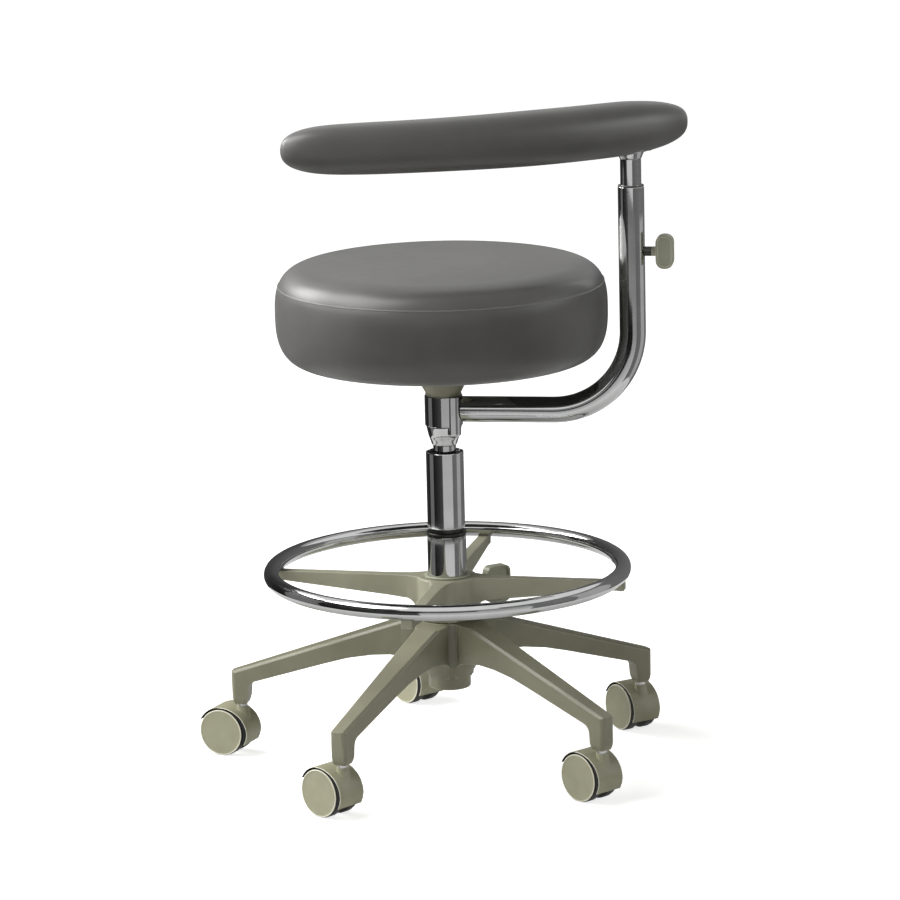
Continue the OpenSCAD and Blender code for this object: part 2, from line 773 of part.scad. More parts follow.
// Round plywood board that carries the cushion
module seat_board() color("#b08a58") {
    difference() {
        translate([0, 0, board_bottom]) cylinder(d = seat_board_d, h = seat_board_t, $fn = 96);
        for (i = [0:3]) rotate([0, 0, 45 + 90 * i]) translate([seat_screw_circle, 0, board_bottom - cut])
            cylinder(d = seat_screw_d + 2 * press_gap, h = seat_board_t + 2 * cut);
    }
}

// Four screws through the plate into the board
module seat_screws() color("#b5b5b2") {
    for (i = [0:3]) rotate([0, 0, 45 + 90 * i]) translate([seat_screw_circle, 0, 0]) {
        translate([0, 0, plate_bottom - seat_screw_head_h - press_gap])
            cylinder(d1 = seat_screw_head_d * 0.7, d2 = seat_screw_head_d, h = seat_screw_head_h);
        translate([0, 0, plate_bottom - 2 * press_gap])
            cylinder(d = seat_screw_d, h = seat_plate_t + seat_board_t - clear_gap);
    }
}

// Half of the cushion's section: drawn-in underside, bulging side, crowned top
function cushion_half() =
    let (wide = seat_h * seat_wide_share, low_r = seat_r * seat_bottom_r_share,
        top_r = seat_r * seat_top_r_share, crown = seat_h * seat_crown_share,
        shoulder = seat_h - crown)
    concat(
        [for (i = [0:seat_steps]) let (a = 90 * i / seat_steps)
            [low_r + (seat_r - low_r) * pow(sin(a), 2 / seat_low_power),
            wide - wide * pow(cos(a), 2 / seat_low_power)]],
        [for (i = [1:seat_steps]) let (a = 90 * i / seat_steps)
            [top_r + (seat_r - top_r) * pow(cos(a), 2 / seat_high_power),
            wide + (shoulder - wide) * pow(sin(a), 2 / seat_high_power)]],
        [for (i = [1:4]) [top_r * (1 - i / 4), shoulder + crown * (1 - pow(1 - i / 4, 2))]]
    );

// Radius of the cushion's side at a share of its height above the widest level
function shoulder_r(share) =
    let (top_r = seat_r * seat_top_r_share,
        t = (share - seat_wide_share) / (1 - seat_crown_share - seat_wide_share))
    top_r + (seat_r - top_r) * pow(1 - pow(t, seat_high_power), 1 / seat_high_power);

// Round cushion over the board, with a welt along its seam
module seat_cushion() color("#6b6a67") {
    board_r = seat_board_d / 2 + clear_gap;
    roof = seat_board_t + clear_gap;
    translate([0, 0, board_bottom]) rotate_extrude($fn = 96) {
        difference() {
            union() {
                polygon(concat([[0, 0]], cushion_half()));
                translate([shoulder_r(seam_share), seat_h * seam_share]) circle(d = welt_d, $fn = 16);
            }
            translate([-cut, -cut]) square([board_r + cut, roof + cut]);
        }
    }
}

// Pin at the top of the cylinder that opens its valve
module release_pin() color("#c4c4c1") {
    translate([0, 0, cylinder_top - cylinder_end_t / 2 + release_pin_show])
        cylinder(d = release_pin_d, h = cylinder_end_t / 2);
}

// Flat bar lever on its trunnion, bent down towards the grip
module lever_rod() color("#8f8f8c") {
    h = lever_d / 2;
    rotate([90, 0, 90]) linear_extrude(lever_d, center = true) polygon([
        [-h, lever_z - h], [lever_bend_y, lever_z - h], [lever_end_y, lever_z - lever_drop - h],
        [lever_end_y, lever_z - lever_drop + h], [lever_bend_y, lever_z + h], [-h, lever_z + h]
    ]);
    translate([-lever_trunnion_l / 2, lever_pivot_y, lever_z]) rotate([0, 90, 0])
        cylinder(d = lever_trunnion_d, h = lever_trunnion_l);
}

// Flat plastic grip pushed onto the lever
module lever_grip() color("#3b3b38") {
    h = lever_d / 2 + press_gap;
    y0 = lever_end_y - grip_l / 2;
    fall = lever_drop / (lever_end_y - lever_bend_y);
    low = lever_z - lever_drop + grip_l / 2 * fall;
    t = (grip_t + lever_d) / 2;
    difference() {
        intersection() {
            rotate([90, 0, 90]) linear_extrude(grip_w, center = true) polygon([
                [y0, low - t], [y0 + grip_l * 0.9, low - t - grip_l * fall],
                [y0 + grip_l, low - grip_l * fall - t * 0.6], [y0 + grip_l, low - grip_l * fall + t * 0.6],
                [y0 + grip_l * 0.9, low + t - grip_l * fall], [y0, low + t]
            ]);
            linear_extrude(2 * lever_z) polygon(concat(
                [[-lever_d, y0], [lever_d, y0]],
                arc([grip_w / 2 - lever_d, y0 + grip_l - lever_d], lever_d, 0, 90, 4),
                arc([lever_d - grip_w / 2, y0 + grip_l - lever_d], lever_d, 90, 180, 4)
            ));
        }
        rotate([90, 0, 90]) linear_extrude(lever_d + 2 * press_gap, center = true) polygon([
            [y0 - cut, low - h + cut * fall], [lever_end_y + press_gap, lever_z - lever_drop - h],
            [lever_end_y + press_gap, lever_z - lever_drop + h], [y0 - cut, low + h + cut * fall]
        ]);
    }
}

// Places a shape at the boss on the arm's sleeve
module at_boss() {
    rotate([0, 0, hub_boss_angle]) translate([hub_boss_reach - hub_boss_r, 0, 0]) children();
}

// Chromed sleeve that swings on the spindle, with the stub that takes the arm tube
module arm_hub() color("#d8d8d6") rotate([0, 0, arm_angle]) {
    stub_end = arm_hub_d / 2 + tube_r / 2;
    edge = arm_tube_wall / 2;
    r = arm_hub_d / 2;
    difference() {
        union() {
            rotate_extrude() polygon([
                [0, hub_bottom], [r - edge, hub_bottom], [r, hub_bottom + edge],
                [r, hub_top - edge], [r - edge, hub_top], [0, hub_top]
            ]);
            translate([0, 0, level_z]) rotate([0, 90, 0])
                cylinder(r = tube_bore_r - press_gap, h = stub_end);
            at_boss() rotate_extrude() polygon(concat(
                [[0, hub_bottom - hub_boss_drop]],
                arc([hub_boss_r - hub_boss_round, hub_bottom - hub_boss_drop + hub_boss_round],
                    hub_boss_round, -90, 0, 5),
                [[hub_boss_r, hub_top - edge], [0, hub_top - edge]]
            ));
        }
        translate([0, 0, hub_bottom - 2 * hub_boss_drop])
            cylinder(r = collar_low_r + clear_gap, h = 2 * hub_boss_drop);
        translate([0, 0, hub_bottom - cut]) cylinder(r = hub_bore_r, h = arm_hub_h + 2 * cut);
    }
}

// Nylon bushes at both ends of the arm's sleeve
module hub_bushes() color("#e5e3da") {
    for (z = [hub_bottom + arm_tube_wall, hub_top - arm_tube_wall - hub_bush_h])
        tube(hub_bore_r - press_gap, spindle_r + run_gap, z, hub_bush_h);
}

// Chromed tube, level from the hub, round the bend and up
module arm_tube() color("#d8d8d6") rotate([0, 0, arm_angle]) {
    level_end = arm_reach - arm_bend_r;
    screw_room = knob_screw_d / 2 + clear_gap;
    difference() {
        union() {
            translate([0, 0, level_z]) rotate([0, 90, 0]) cylinder(r = tube_r, h = level_end);
            translate([level_end, 0, bend_end_z]) rotate([90, 0, 0]) rotate([0, 0, -90])
                rotate_extrude(angle = 90) translate([arm_bend_r, 0]) circle(r = tube_r);
            translate([arm_reach, 0, bend_end_z]) cylinder(r = tube_r, h = tube_top - bend_end_z);
        }
        translate([0, 0, level_z]) rotate([0, 90, 0]) cylinder(r = tube_bore_r, h = level_end);
        translate([level_end, 0, bend_end_z]) rotate([90, 0, 0]) rotate([0, 0, -90])
            rotate_extrude(angle = 90) translate([arm_bend_r, 0]) circle(r = tube_bore_r);
        translate([arm_reach, 0, bend_end_z])
            cylinder(r = tube_bore_r, h = tube_top - bend_end_z + cut);
        translate([0, 0, hub_bottom - tube_r]) cylinder(r = arm_hub_d / 2 + press_gap,
            h = arm_hub_h + 2 * tube_r);
        at_boss() translate([0, 0, hub_bottom - tube_r])
            cylinder(r = hub_boss_r + press_gap, h = arm_hub_h + 2 * tube_r);
        translate([arm_reach, 0, knob_z]) rotate([0, 90, 0]) cylinder(r = screw_room, h = 2 * tube_r);
    }
}

// Nylon liner between the tube and the post, with a lip on the tube's end
module tube_liner() color("#4a4a47") rotate([0, 0, arm_angle]) {
    screw_room = knob_screw_d / 2 + clear_gap;
    outer = tube_bore_r - press_gap;
    bore = post_r + run_gap;
    translate([arm_reach, 0, 0]) difference() {
        rotate_extrude() polygon([
            [bore, tube_liner_bottom], [outer, tube_liner_bottom], [outer, tube_top + press_gap],
            [tube_r - arm_tube_wall / 4, tube_top + press_gap],
            [tube_r - arm_tube_wall / 4, tube_top + liner_top_h], [bore, tube_top + liner_top_h]
        ]);
        translate([0, 0, knob_z]) rotate([0, 90, 0]) cylinder(r = screw_room, h = 2 * tube_r);
    }
}

// Places a shape on the arm's clamp screw, with its own Z along the screw
module at_arm_screw() {
    rotate([0, 0, arm_angle]) translate([arm_reach, 0, knob_z]) rotate([0, 90, 0]) children();
}

// Round nut welded on the tube for the clamp screw
module clamp_nut() color("#5a5a57") at_arm_screw() {
    difference() {
        cylinder(d = nut_d, h = tube_r + nut_h);
        translate([0, 0, -cut]) cylinder(r = knob_screw_d / 2 + run_gap, h = tube_r + nut_h + 2 * cut);
        rotate([0, 90, 0]) translate([0, 0, -tube_r]) cylinder(r = tube_r + press_gap, h = 2 * tube_r);
    }
}

// Section of a paddle knob along its screw, with round corners
function paddle(l, h, corner) = concat(
    arc([l - corner, h / 2 - corner], corner, 0, 90, 6), arc([corner, h / 2 - corner], corner, 90, 180, 6),
    arc([corner, corner - h / 2], corner, 180, 270, 6),
    arc([l - corner, corner - h / 2], corner, 270, 360, 6)
);

// A paddle knob whose screw lies along Z; the paddle's long side lies along X
module paddle_knob(l, h, t, corner, neck_d, neck_h, screw_d, dish) {
    difference() {
        union() {
            translate([0, t / 2, neck_h]) rotate([90, 0, 0]) linear_extrude(t)
                polygon([for (p = paddle(l, h, corner)) [p[1], p[0]]]);
            cylinder(d = neck_d, h = neck_h + l / 4);
        }
        for (s = [-1, 1]) translate([0, s * t / 2, neck_h]) rotate([90, 0, 0])
            linear_extrude(2 * dish, center = true)
                polygon([for (p = paddle(l - 2 * dish_rim, h - 2 * dish_rim, corner - dish_rim))
                    [p[1], p[0] + dish_rim]]);
        translate([0, 0, -cut]) cylinder(d = screw_d + 2 * press_gap, h = neck_h + l / 2 + cut);
    }
}

// Paddle knob of the arm
module arm_knob() color("#7b7b6b") at_arm_screw() translate([0, 0, tube_r + nut_h + knob_gap])
    paddle_knob(arm_knob_l, arm_knob_h, arm_knob_t, arm_knob_corner, nut_d, knob_neck_h,
        knob_screw_d, arm_knob_dish);

// Screw moulded into the arm's knob; its tip presses on the post
module arm_knob_screw() color("#b5b5b2") at_arm_screw()
    translate([0, 0, post_r + clear_gap])
        cylinder(d = knob_screw_d, h = tube_r - post_r + nut_h + knob_neck_h + arm_knob_l / 2 - clear_gap);

// Chromed post that slides in the upright tube
module post_tube() color("#d8d8d6") rotate([0, 0, arm_angle]) translate([arm_reach, 0, 0])
    tube(post_r, post_r - post_wall, post_bottom, post_top - post_bottom);

// Places a shape at the post, with X along the pad towards its short end
module at_pad() {
    rotate([0, 0, arm_angle]) translate([arm_reach, 0, 0]) rotate([0, 0, pad_angle]) children();
}

// Point of the pad's centre line at a distance along it from the post, and its angle
function pad_turn(s) = s / pad_arc_r * 180 / PI;
function pad_centre(s) = [pad_arc_r * sin(pad_turn(s)), pad_arc_r * (1 - cos(pad_turn(s)))];

// Corners of one of the pad's sections: q holds its place along the pad and its size, both shares
function pad_ring(q) =
    let (at = q[0] * (pad_long + pad_short) - pad_long, c = pad_centre(at), a = pad_turn(at))
    [for (j = [0:pad_sides - 1]) let (t = 360 * j / pad_sides,
        u = pad_depth / 2 * q[1] * sign(cos(t)) * pow(abs(cos(t)), 2 / pad_power),
        w = pad_h / 2 * q[1] * sign(sin(t)) * pow(abs(sin(t)), 2 / pad_power))
        [c[0] + u * sin(a), c[1] - u * cos(a), pad_mid_z + w]];

// The pad's full form, one closed skin of triangles
module pad_form() {
    n = len(pad_shares);
    m = pad_sides;
    left = pad_centre(-pad_long);
    right = pad_centre(pad_short);
    points = concat([for (q = pad_shares) each pad_ring(q)],
        [[left[0], left[1], pad_mid_z], [right[0], right[1], pad_mid_z]]);
    skin = [for (i = [0:n - 2], j = [0:m - 1]) let (k = (j + 1) % m)
        each [[i * m + j, (i + 1) * m + k, (i + 1) * m + j], [i * m + j, i * m + k, (i + 1) * m + k]]];
    caps = [for (j = [0:m - 1]) let (k = (j + 1) % m)
        each [[n * m, k, j], [n * m + 1, (n - 1) * m + j, (n - 1) * m + k]]];
    polyhedron(points, concat(skin, caps));
}

// A curved plank along the pad's centre line
module pad_plank(long, short, w, z, h) {
    translate([0, pad_arc_r, z]) rotate([0, 0, -90 - pad_turn(long)])
        rotate_extrude(angle = pad_turn(long + short), $fn = 180)
            translate([pad_arc_r - w / 2, 0]) square([w, h]);
}

// Curved plywood board in the pad's underside
module pad_board() color("#b08a58") at_pad() {
    difference() {
        pad_plank(pad_board_long, pad_board_short, pad_board_w, pad_board_bottom, pad_board_t);
        for (x = [-1, 1]) translate([x * pad_screw_x, 0, pad_board_bottom - cut])
            cylinder(d = pad_screw_d + 2 * press_gap, h = pad_board_t + 2 * cut);
    }
}

// Curved pad, with a recess in its underside for the board and the bracket
module pad_cushion() color("#6b6a67") at_pad() {
    difference() {
        pad_form();
        pad_plank(pad_board_long + clear_gap, pad_board_short + clear_gap, pad_board_w + 2 * clear_gap,
            pad_board_bottom - clear_gap, pad_board_t + 2 * clear_gap);
        translate([0, 0, pad_mid_z - pad_h]) linear_extrude(pad_h - (pad_mid_z - pad_board_bottom))
            polygon(bracket_outline(clear_gap));
    }
}

function bracket_outline(grow) =
    let (r = bracket_cone_r + grow, x = bracket_plate_l / 2 - bracket_cone_r)
    concat(arc([x, 0], r, -90, 90, 12), arc([-x, 0], r, 90, 270, 12));

// Plate screwed to the board, with the cone and the spigot that turns in the post
module pad_bracket() color("#c4c4c1") at_pad() {
    low = post_top + cone_gap;
    plate_low = low + bracket_cone_h;
    difference() {
        union() {
            translate([0, 0, plate_low]) linear_extrude(bracket_plate_t) polygon(bracket_outline(0));
            translate([0, 0, low]) cylinder(r1 = post_r + clear_gap, r2 = bracket_cone_r,
                h = bracket_cone_h);
            translate([0, 0, low - bracket_spigot_h])
                cylinder(r = post_r - post_wall - run_gap, h = bracket_spigot_h + cut);
        }
        for (x = [-1, 1]) translate([x * pad_screw_x, 0, plate_low - cut])
            cylinder(d = pad_screw_d + 2 * clear_gap, h = bracket_plate_t + 2 * cut);
    }
}

// Two screws through the bracket into the board
module pad_screws() color("#b5b5b2") at_pad() {
    plate_low = post_top + cone_gap + bracket_cone_h;
    for (x = [-1, 1]) translate([x * pad_screw_x, 0, 0]) {
        translate([0, 0, plate_low - pad_screw_head_h - press_gap])
            cylinder(d1 = pad_screw_head_d * 0.7, d2 = pad_screw_head_d, h = pad_screw_head_h);
        translate([0, 0, plate_low - 2 * press_gap])
            cylinder(d = pad_screw_d, h = bracket_plate_t + pad_board_t - clear_gap);
    }
}

// Sleeve with a lip that slides on the lower tube and carries the spider
module ring_liner() color("#a6a389") {
    bore = lower_r + clear_gap;
    lip = liner_r + liner_flange_h;
    rotate_extrude() polygon([
        [bore, ring_rest + clear_gap], [liner_r, ring_rest + clear_gap],
        [liner_r, ring_hub_top + clear_gap], [lip, ring_hub_top + clear_gap],
        [lip, ring_hub_top + liner_flange_h], [bore, ring_hub_top + liner_flange_h]
    ]);
}

// Side view of a spider arm: distance from the column, height
function spider_side() =
    concat([
        [0, spider_top], [spider_end_r, spider_top],
        [spider_end_r, spider_top - spider_end_depth],
        [foot_ring_r - ring_screw_head_d, spider_top - spider_end_depth]],
        arc([spider_hub_d / 2 + spider_fillet, spider_top - spider_root_depth - spider_fillet],
            spider_fillet, 90, 160, 5),
        [[0, ring_rest + spider_root_depth / 4]]
    );

// Plan of a spider arm with its flare into the hub
function spider_plan() =
    let (w = spider_arm_w / 2, hub = spider_hub_d / 2,
        side = [[0, hub * 0.8], [hub, w * 2], [hub * 1.35, w * 1.3], [hub * 2, w], [spider_end_r, w]])
    concat(side, [for (i = [len(side) - 1:-1:0]) [side[i][0], -side[i][1]]]);

// Places a shape on spider arm i
module at_spider(i) {
    rotate([0, 0, spider_angle + 360 / spider_arms * i]) children();
}

// Cast hub with the arms that carry the foot ring
module ring_spider() color("#8c8a77") {
    hub = spider_hub_d / 2;
    edge = base_wall / 3;
    difference() {
        union() {
            rotate_extrude() polygon([
                [0, ring_rest], [hub - edge, ring_rest], [hub, ring_rest + edge],
                [hub, spider_top - edge], [hub - edge, spider_top], [0, spider_top]
            ]);
            for (i = [0:spider_arms - 1]) at_spider(i) intersection() {
                translate([0, spider_hub_d, 0]) rotate([90, 0, 0])
                    linear_extrude(2 * spider_hub_d) polygon(spider_side());
                linear_extrude(spider_top + cut) polygon(spider_plan());
            }
        }
        translate([0, 0, ring_rest - cut]) cylinder(r = liner_r + clear_gap, h = spider_hub_h + 2 * cut);
        translate([0, 0, foot_ring_z]) rotate_extrude() translate([foot_ring_r, 0])
            circle(r = foot_r + press_gap);
        for (i = [0:spider_arms - 1]) at_spider(i)
            translate([foot_ring_r, 0, spider_top - spider_end_depth - cut])
                cylinder(d = ring_screw_d + 2 * press_gap, h = spider_end_depth + 2 * cut);
        rotate([0, 0, ring_knob_angle]) translate([0, 0, ring_knob_z]) rotate([0, 90, 0])
            cylinder(d = ring_screw_rod_d + 2 * run_gap, h = spider_hub_d);
    }
}

// Chromed ring of bent tube
module foot_ring() color("#d8d8d6") {
    difference() {
        translate([0, 0, foot_ring_z]) rotate_extrude($fn = 120) translate([foot_ring_r, 0])
            difference() {
                circle(r = foot_r);
                circle(r = foot_r - foot_tube_wall);
            }
        for (i = [0:spider_arms - 1]) at_spider(i)
            translate([foot_ring_r, 0, foot_ring_z - foot_tube_d])
                cylinder(d = ring_screw_d + 2 * press_gap, h = foot_tube_d);
    }
}

// Screws from below that hold the ring on the spider
module ring_screws() color("#b5b5b2") {
    low = spider_top - spider_end_depth;
    for (i = [0:spider_arms - 1]) at_spider(i) translate([foot_ring_r, 0, 0]) {
        translate([0, 0, low - ring_screw_head_h - press_gap])
            cylinder(d1 = ring_screw_head_d * 0.7, d2 = ring_screw_head_d, h = ring_screw_head_h);
        translate([0, 0, low - 2 * press_gap])
            cylinder(d = ring_screw_d, h = spider_end_depth + foot_tube_wall * 2);
    }
}

// Places a shape on the ring's clamp screw, with its own Z along the screw
module at_ring_screw() {
    rotate([0, 0, ring_knob_angle]) translate([0, 0, ring_knob_z]) rotate([0, 90, 0]) children();
}

// Paddle knob of the foot ring
module ring_knob() color("#7b7b6b") at_ring_screw()
    translate([0, 0, spider_hub_d / 2 + ring_knob_stand - knob_neck_h])
        paddle_knob(ring_knob_l, ring_knob_h, ring_knob_t, ring_knob_corner, nut_d, knob_neck_h,
            ring_screw_rod_d, ring_knob_dish);

// Screw moulded into the ring's knob; its tip presses on the sleeve
module ring_knob_screw() color("#b5b5b2") at_ring_screw()
    translate([0, 0, liner_r + clear_gap])
        cylinder(d = ring_screw_rod_d, h = spider_hub_d / 2 - liner_r + ring_knob_stand
            + ring_knob_l / 2 - clear_gap);

base_casting();
stem_sleeves();
column_lower();
column_spigot();
stop_ring();
column_upper();
guide_bush();
column_foot();
caster_hood(1);  // caster_hood_1
caster_hood(2);  // caster_hood_2
caster_hood(3);  // caster_hood_3
caster_hood(4);  // caster_hood_4
caster_hood(5);  // caster_hood_5
caster_pins(1);  // caster_pins_1
caster_pins(2);  // caster_pins_2
caster_pins(3);  // caster_pins_3
caster_pins(4);  // caster_pins_4
caster_pins(5);  // caster_pins_5
wheel(1, 1);  // wheel_1_left
wheel(2, 1);  // wheel_2_left
wheel(3, 1);  // wheel_3_left
wheel(4, 1);  // wheel_4_left
wheel(5, 1);  // wheel_5_left
wheel(1, -1);  // wheel_1_right
wheel(2, -1);  // wheel_2_right
wheel(3, -1);  // wheel_3_right
wheel(4, -1);  // wheel_4_right
wheel(5, -1);  // wheel_5_right
piston_rod();
lift_buffer();
thrust_bearing();
rod_clip();
gas_cylinder();
seat_spindle();
arm_retainer();
seat_plate();
seat_board();
seat_screws();
seat_cushion();
release_pin();
lever_rod();
lever_grip();
arm_hub();
hub_bushes();
arm_tube();
tube_liner();
clamp_nut();
arm_knob();
arm_knob_screw();
post_tube();
pad_bracket();
pad_board();
pad_screws();
pad_cushion();
ring_liner();
ring_spider();
foot_ring();
ring_screws();
ring_knob();
ring_knob_screw();
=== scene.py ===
"""Dental operator stool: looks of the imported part, its studio and its camera. Metres, CAD frame."""
import json
import math

import bmesh
import bpy
from mathutils import Matrix, Vector


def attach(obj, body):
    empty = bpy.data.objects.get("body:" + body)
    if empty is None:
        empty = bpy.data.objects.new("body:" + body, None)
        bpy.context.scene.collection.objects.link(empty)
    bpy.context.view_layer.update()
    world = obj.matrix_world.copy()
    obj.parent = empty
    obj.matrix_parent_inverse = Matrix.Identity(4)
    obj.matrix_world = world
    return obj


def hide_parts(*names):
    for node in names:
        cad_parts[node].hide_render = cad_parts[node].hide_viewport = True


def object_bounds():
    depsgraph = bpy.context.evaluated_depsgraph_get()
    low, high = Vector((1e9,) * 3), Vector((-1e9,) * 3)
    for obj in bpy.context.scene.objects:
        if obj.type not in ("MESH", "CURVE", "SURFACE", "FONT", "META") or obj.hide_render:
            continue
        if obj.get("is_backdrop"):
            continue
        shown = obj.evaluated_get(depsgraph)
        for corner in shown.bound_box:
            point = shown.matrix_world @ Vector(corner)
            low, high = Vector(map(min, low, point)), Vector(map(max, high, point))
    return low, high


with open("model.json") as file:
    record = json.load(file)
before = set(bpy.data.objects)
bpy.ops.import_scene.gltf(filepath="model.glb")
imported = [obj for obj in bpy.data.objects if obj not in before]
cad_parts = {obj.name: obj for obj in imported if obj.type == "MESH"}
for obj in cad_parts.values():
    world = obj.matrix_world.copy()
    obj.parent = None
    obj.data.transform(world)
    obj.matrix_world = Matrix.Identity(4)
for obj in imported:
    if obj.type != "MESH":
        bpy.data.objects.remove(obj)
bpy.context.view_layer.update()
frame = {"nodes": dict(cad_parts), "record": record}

nodes = frame["nodes"]
MM = 0.001

# ---------------------------------------------------------------- measures shared with the CAD, mm
SEAT_BOTTOM, SEAT_R, SEAT_H = 506.0, 202.25, 121.7
SEAT_WIDE, SEAT_LOW_R, SEAT_TOP_R, SEAT_CROWN = 0.516, 0.761, 0.733, 0.014
SEAT_LOW_POWER, SEAT_HIGH_POWER, SEAM_SHARE = 2.83, 2.86, 0.785
BOARD_R, BOARD_T = 150.0, 12.0
ARM_ANGLE, ARM_REACH, PAD_ANGLE = -8.6, 232.7, 45.0
PAD_R, PAD_LONG, PAD_SHORT = 657.0, 441.0, 89.0
PAD_H, PAD_DEPTH, PAD_Z, PAD_POWER = 65.0, 58.0, 789.325, 2.6
PAD_SHARES = (
    (0.0015, 0.2), (0.006, 0.36), (0.013, 0.48), (0.0245, 0.6), (0.04, 0.7), (0.0585, 0.78),
    (0.081, 0.84), (0.113, 0.885), (0.151, 0.91), (0.198, 0.928), (0.264, 0.94), (0.349, 0.955),
    (0.462, 0.98), (0.566, 1.0), (0.698, 1.0), (0.792, 0.99), (0.832, 0.97), (0.862, 0.93),
    (0.892, 0.88), (0.925, 0.8), (0.953, 0.69), (0.972, 0.58), (0.985, 0.45), (0.9945, 0.28),
    (0.9987, 0.13),
)
BASE_REACH, BASE_ANGLE, CASTER_TRAIL = 264.4, 168.7, 22.0
CASTER_ANGLES = (154.4, 136.1, 131.5, 121.5, 128.0)
WHEEL_R, DISC_R, TREAD_FROM, TREAD_TO, DISC_FACE = 30.0, 29.1, 6.55, 17.4, 20.0
HOOD_R, HOOD_W, HOOD_WEB, HOOD_NOSE, HOOD_ROOM = 32.0, 39.4, 12.6, 3.4, 31.2
SKIRT_Z, SKIRT_TRAIL, SKIRT_STEM = 20.0, -0.88, 0.12
TUBE_R, TUBE_BORE, TUBE_TOP, BEND_R, ARM_FROM = 15.9, 14.3, 718.95, 98.0, 23.4
SOCKET_BOTTOM, LEVEL_Z = 66.3, 444.95

# ---------------------------------------------------------------- measures of the scene's own forms
SEAT_SIDES, CROWN_STEPS, QUARTER_STEPS = 96, 15, 16
COVER_IN, BOARD_GAP = 0.2, 0.3  # mm
WELT_R, WELT_IN, WELT_SIDES, SEAM_SIDES = 1.15, 0.1, 12, 180  # the first two in mm
PAD_STEPS, PAD_SIDES, PAD_BOARD_SHARE = 96, 64, 0.62
WHEEL_SIDES, TURNED_SIDES = 96, 128
BOSS_LOW_R, BOSS_TOP_R, BOSS_H, BOSS_Z, ROOM_DEEP = 11, 6.9, 20, 52.1, 20  # mm
SKIRT_HALF, SKIRT_WIDE, SKIRT_DEEP = 0.08, 0.08, 0.05  # metres


# ---------------------------------------------------------------- modelling by hand
def deselect():
    """Leaves edit mode and selects nothing."""
    if bpy.context.mode != "OBJECT":
        bpy.ops.object.mode_set(mode="OBJECT")
    bpy.ops.object.select_all(action="DESELECT")


def pick(piece):
    """Makes one piece the only one selected, and the active one."""
    deselect()
    piece.select_set(True)
    bpy.context.view_layer.objects.active = piece


def named(piece, name):
    """Gives a piece and its mesh one name."""
    piece.name = name
    piece.data.name = name
    return piece


def apply_all(piece):
    """Bakes every modifier of a piece into its mesh."""
    pick(piece)
    for modifier in list(piece.modifiers):
        bpy.ops.object.modifier_apply(modifier=modifier.name)


def settle(piece):
    """Puts a piece's place, turn and scale into its mesh, with its normals outward."""
    pick(piece)
    bpy.ops.object.transform_apply(location=True, rotation=True, scale=True)
    bpy.ops.object.mode_set(mode="EDIT")
    bpy.ops.mesh.select_all(action="SELECT")
    bpy.ops.mesh.remove_doubles(threshold=0.01 * MM)
    bpy.ops.mesh.normals_make_consistent(inside=False)
    bpy.ops.object.mode_set(mode="OBJECT")


def smooth(piece, angle=35):
    """Shades a piece smooth, except across edges sharper than an angle in degrees."""
    pick(piece)
    bpy.ops.object.shade_smooth_by_angle(angle=math.radians(angle))


def turned(name, profile, sides=96, hollow=False):
    """A lathe piece: a circle is drawn out along its own Z through (radius, height) steps in mm.
    The profile of a hollow one comes back to where it starts."""
    deselect()
    first_r, first_z = profile[0]
    bpy.ops.mesh.primitive_circle_add(
        vertices=sides, radius=first_r * MM, fill_type="NGON", location=(0, 0, first_z * MM)
    )
    piece = named(bpy.context.active_object, name)
    bpy.ops.object.transform_apply(location=True, rotation=False, scale=False)
    bpy.ops.object.mode_set(mode="EDIT")
    bpy.ops.mesh.select_mode(type="VERT")
    bpy.ops.mesh.select_all(action="SELECT")
    r, z = first_r, first_z
    for next_r, next_z in profile[1:]:
        bpy.ops.mesh.extrude_region_move(
            TRANSFORM_OT_translate={"value": (0, 0, (next_z - z) * MM)}
        )
        share = next_r / r
        bpy.ops.transform.resize(
            value=(share, share, 1), center_override=(0, 0, next_z * MM)
        )
        r, z = next_r, next_z
    if hollow:
        bpy.ops.mesh.select_mode(type="FACE")
        bpy.ops.mesh.select_all(action="DESELECT")
        bpy.ops.mesh.select_face_by_sides(number=sides, type="EQUAL")
        bpy.ops.mesh.delete(type="ONLY_FACE")
    bpy.ops.object.mode_set(mode="OBJECT")
    return piece


def bent_tube(name, r, bore, start, corner, top, bend_r, sides=72):
    """A tube drawn level from start, round a bend and up to its open top, all in mm; corner is
    where the two straight runs would meet, as (x, z)."""
    deselect()
    x, z = corner
    bpy.ops.mesh.primitive_circle_add(
        vertices=sides, radius=r * MM, fill_type="NOTHING", rotation=(0, math.radians(90), 0),
        location=(start * MM, 0, z * MM),
    )
    piece = named(bpy.context.active_object, name)
    bpy.ops.object.transform_apply(location=True, rotation=True, scale=True)
    bpy.ops.object.mode_set(mode="EDIT")
    bpy.ops.mesh.select_mode(type="VERT")
    bpy.ops.mesh.select_all(action="SELECT")
    bpy.ops.mesh.extrude_region_move(
        TRANSFORM_OT_translate={"value": ((x - bend_r - start) * MM, 0, 0)}
    )
    bpy.ops.mesh.spin(
        steps=36, angle=math.radians(90), axis=(0, 1, 0),
        center=((x - bend_r) * MM, 0, (z + bend_r) * MM),
    )
    # Up the tube, over its rounded rim and 40 mm down the bore, as (rise, radius) steps.
    now_r = r
    for rise, next_r in (
        (top - 0.5 - z - bend_r, r), (0.35, r - 0.15), (0.15, r - 0.5), (0.0, bore + 0.2),
        (-0.3, bore), (-40.0, bore),
    ):
        bpy.ops.mesh.extrude_region_move(TRANSFORM_OT_translate={"value": (0, 0, rise * MM)})
        share = next_r / now_r
        bpy.ops.transform.resize(value=(share, share, 1), center_override=(x * MM, 0, 0))
        now_r = next_r
    bpy.ops.object.mode_set(mode="OBJECT")
    return piece


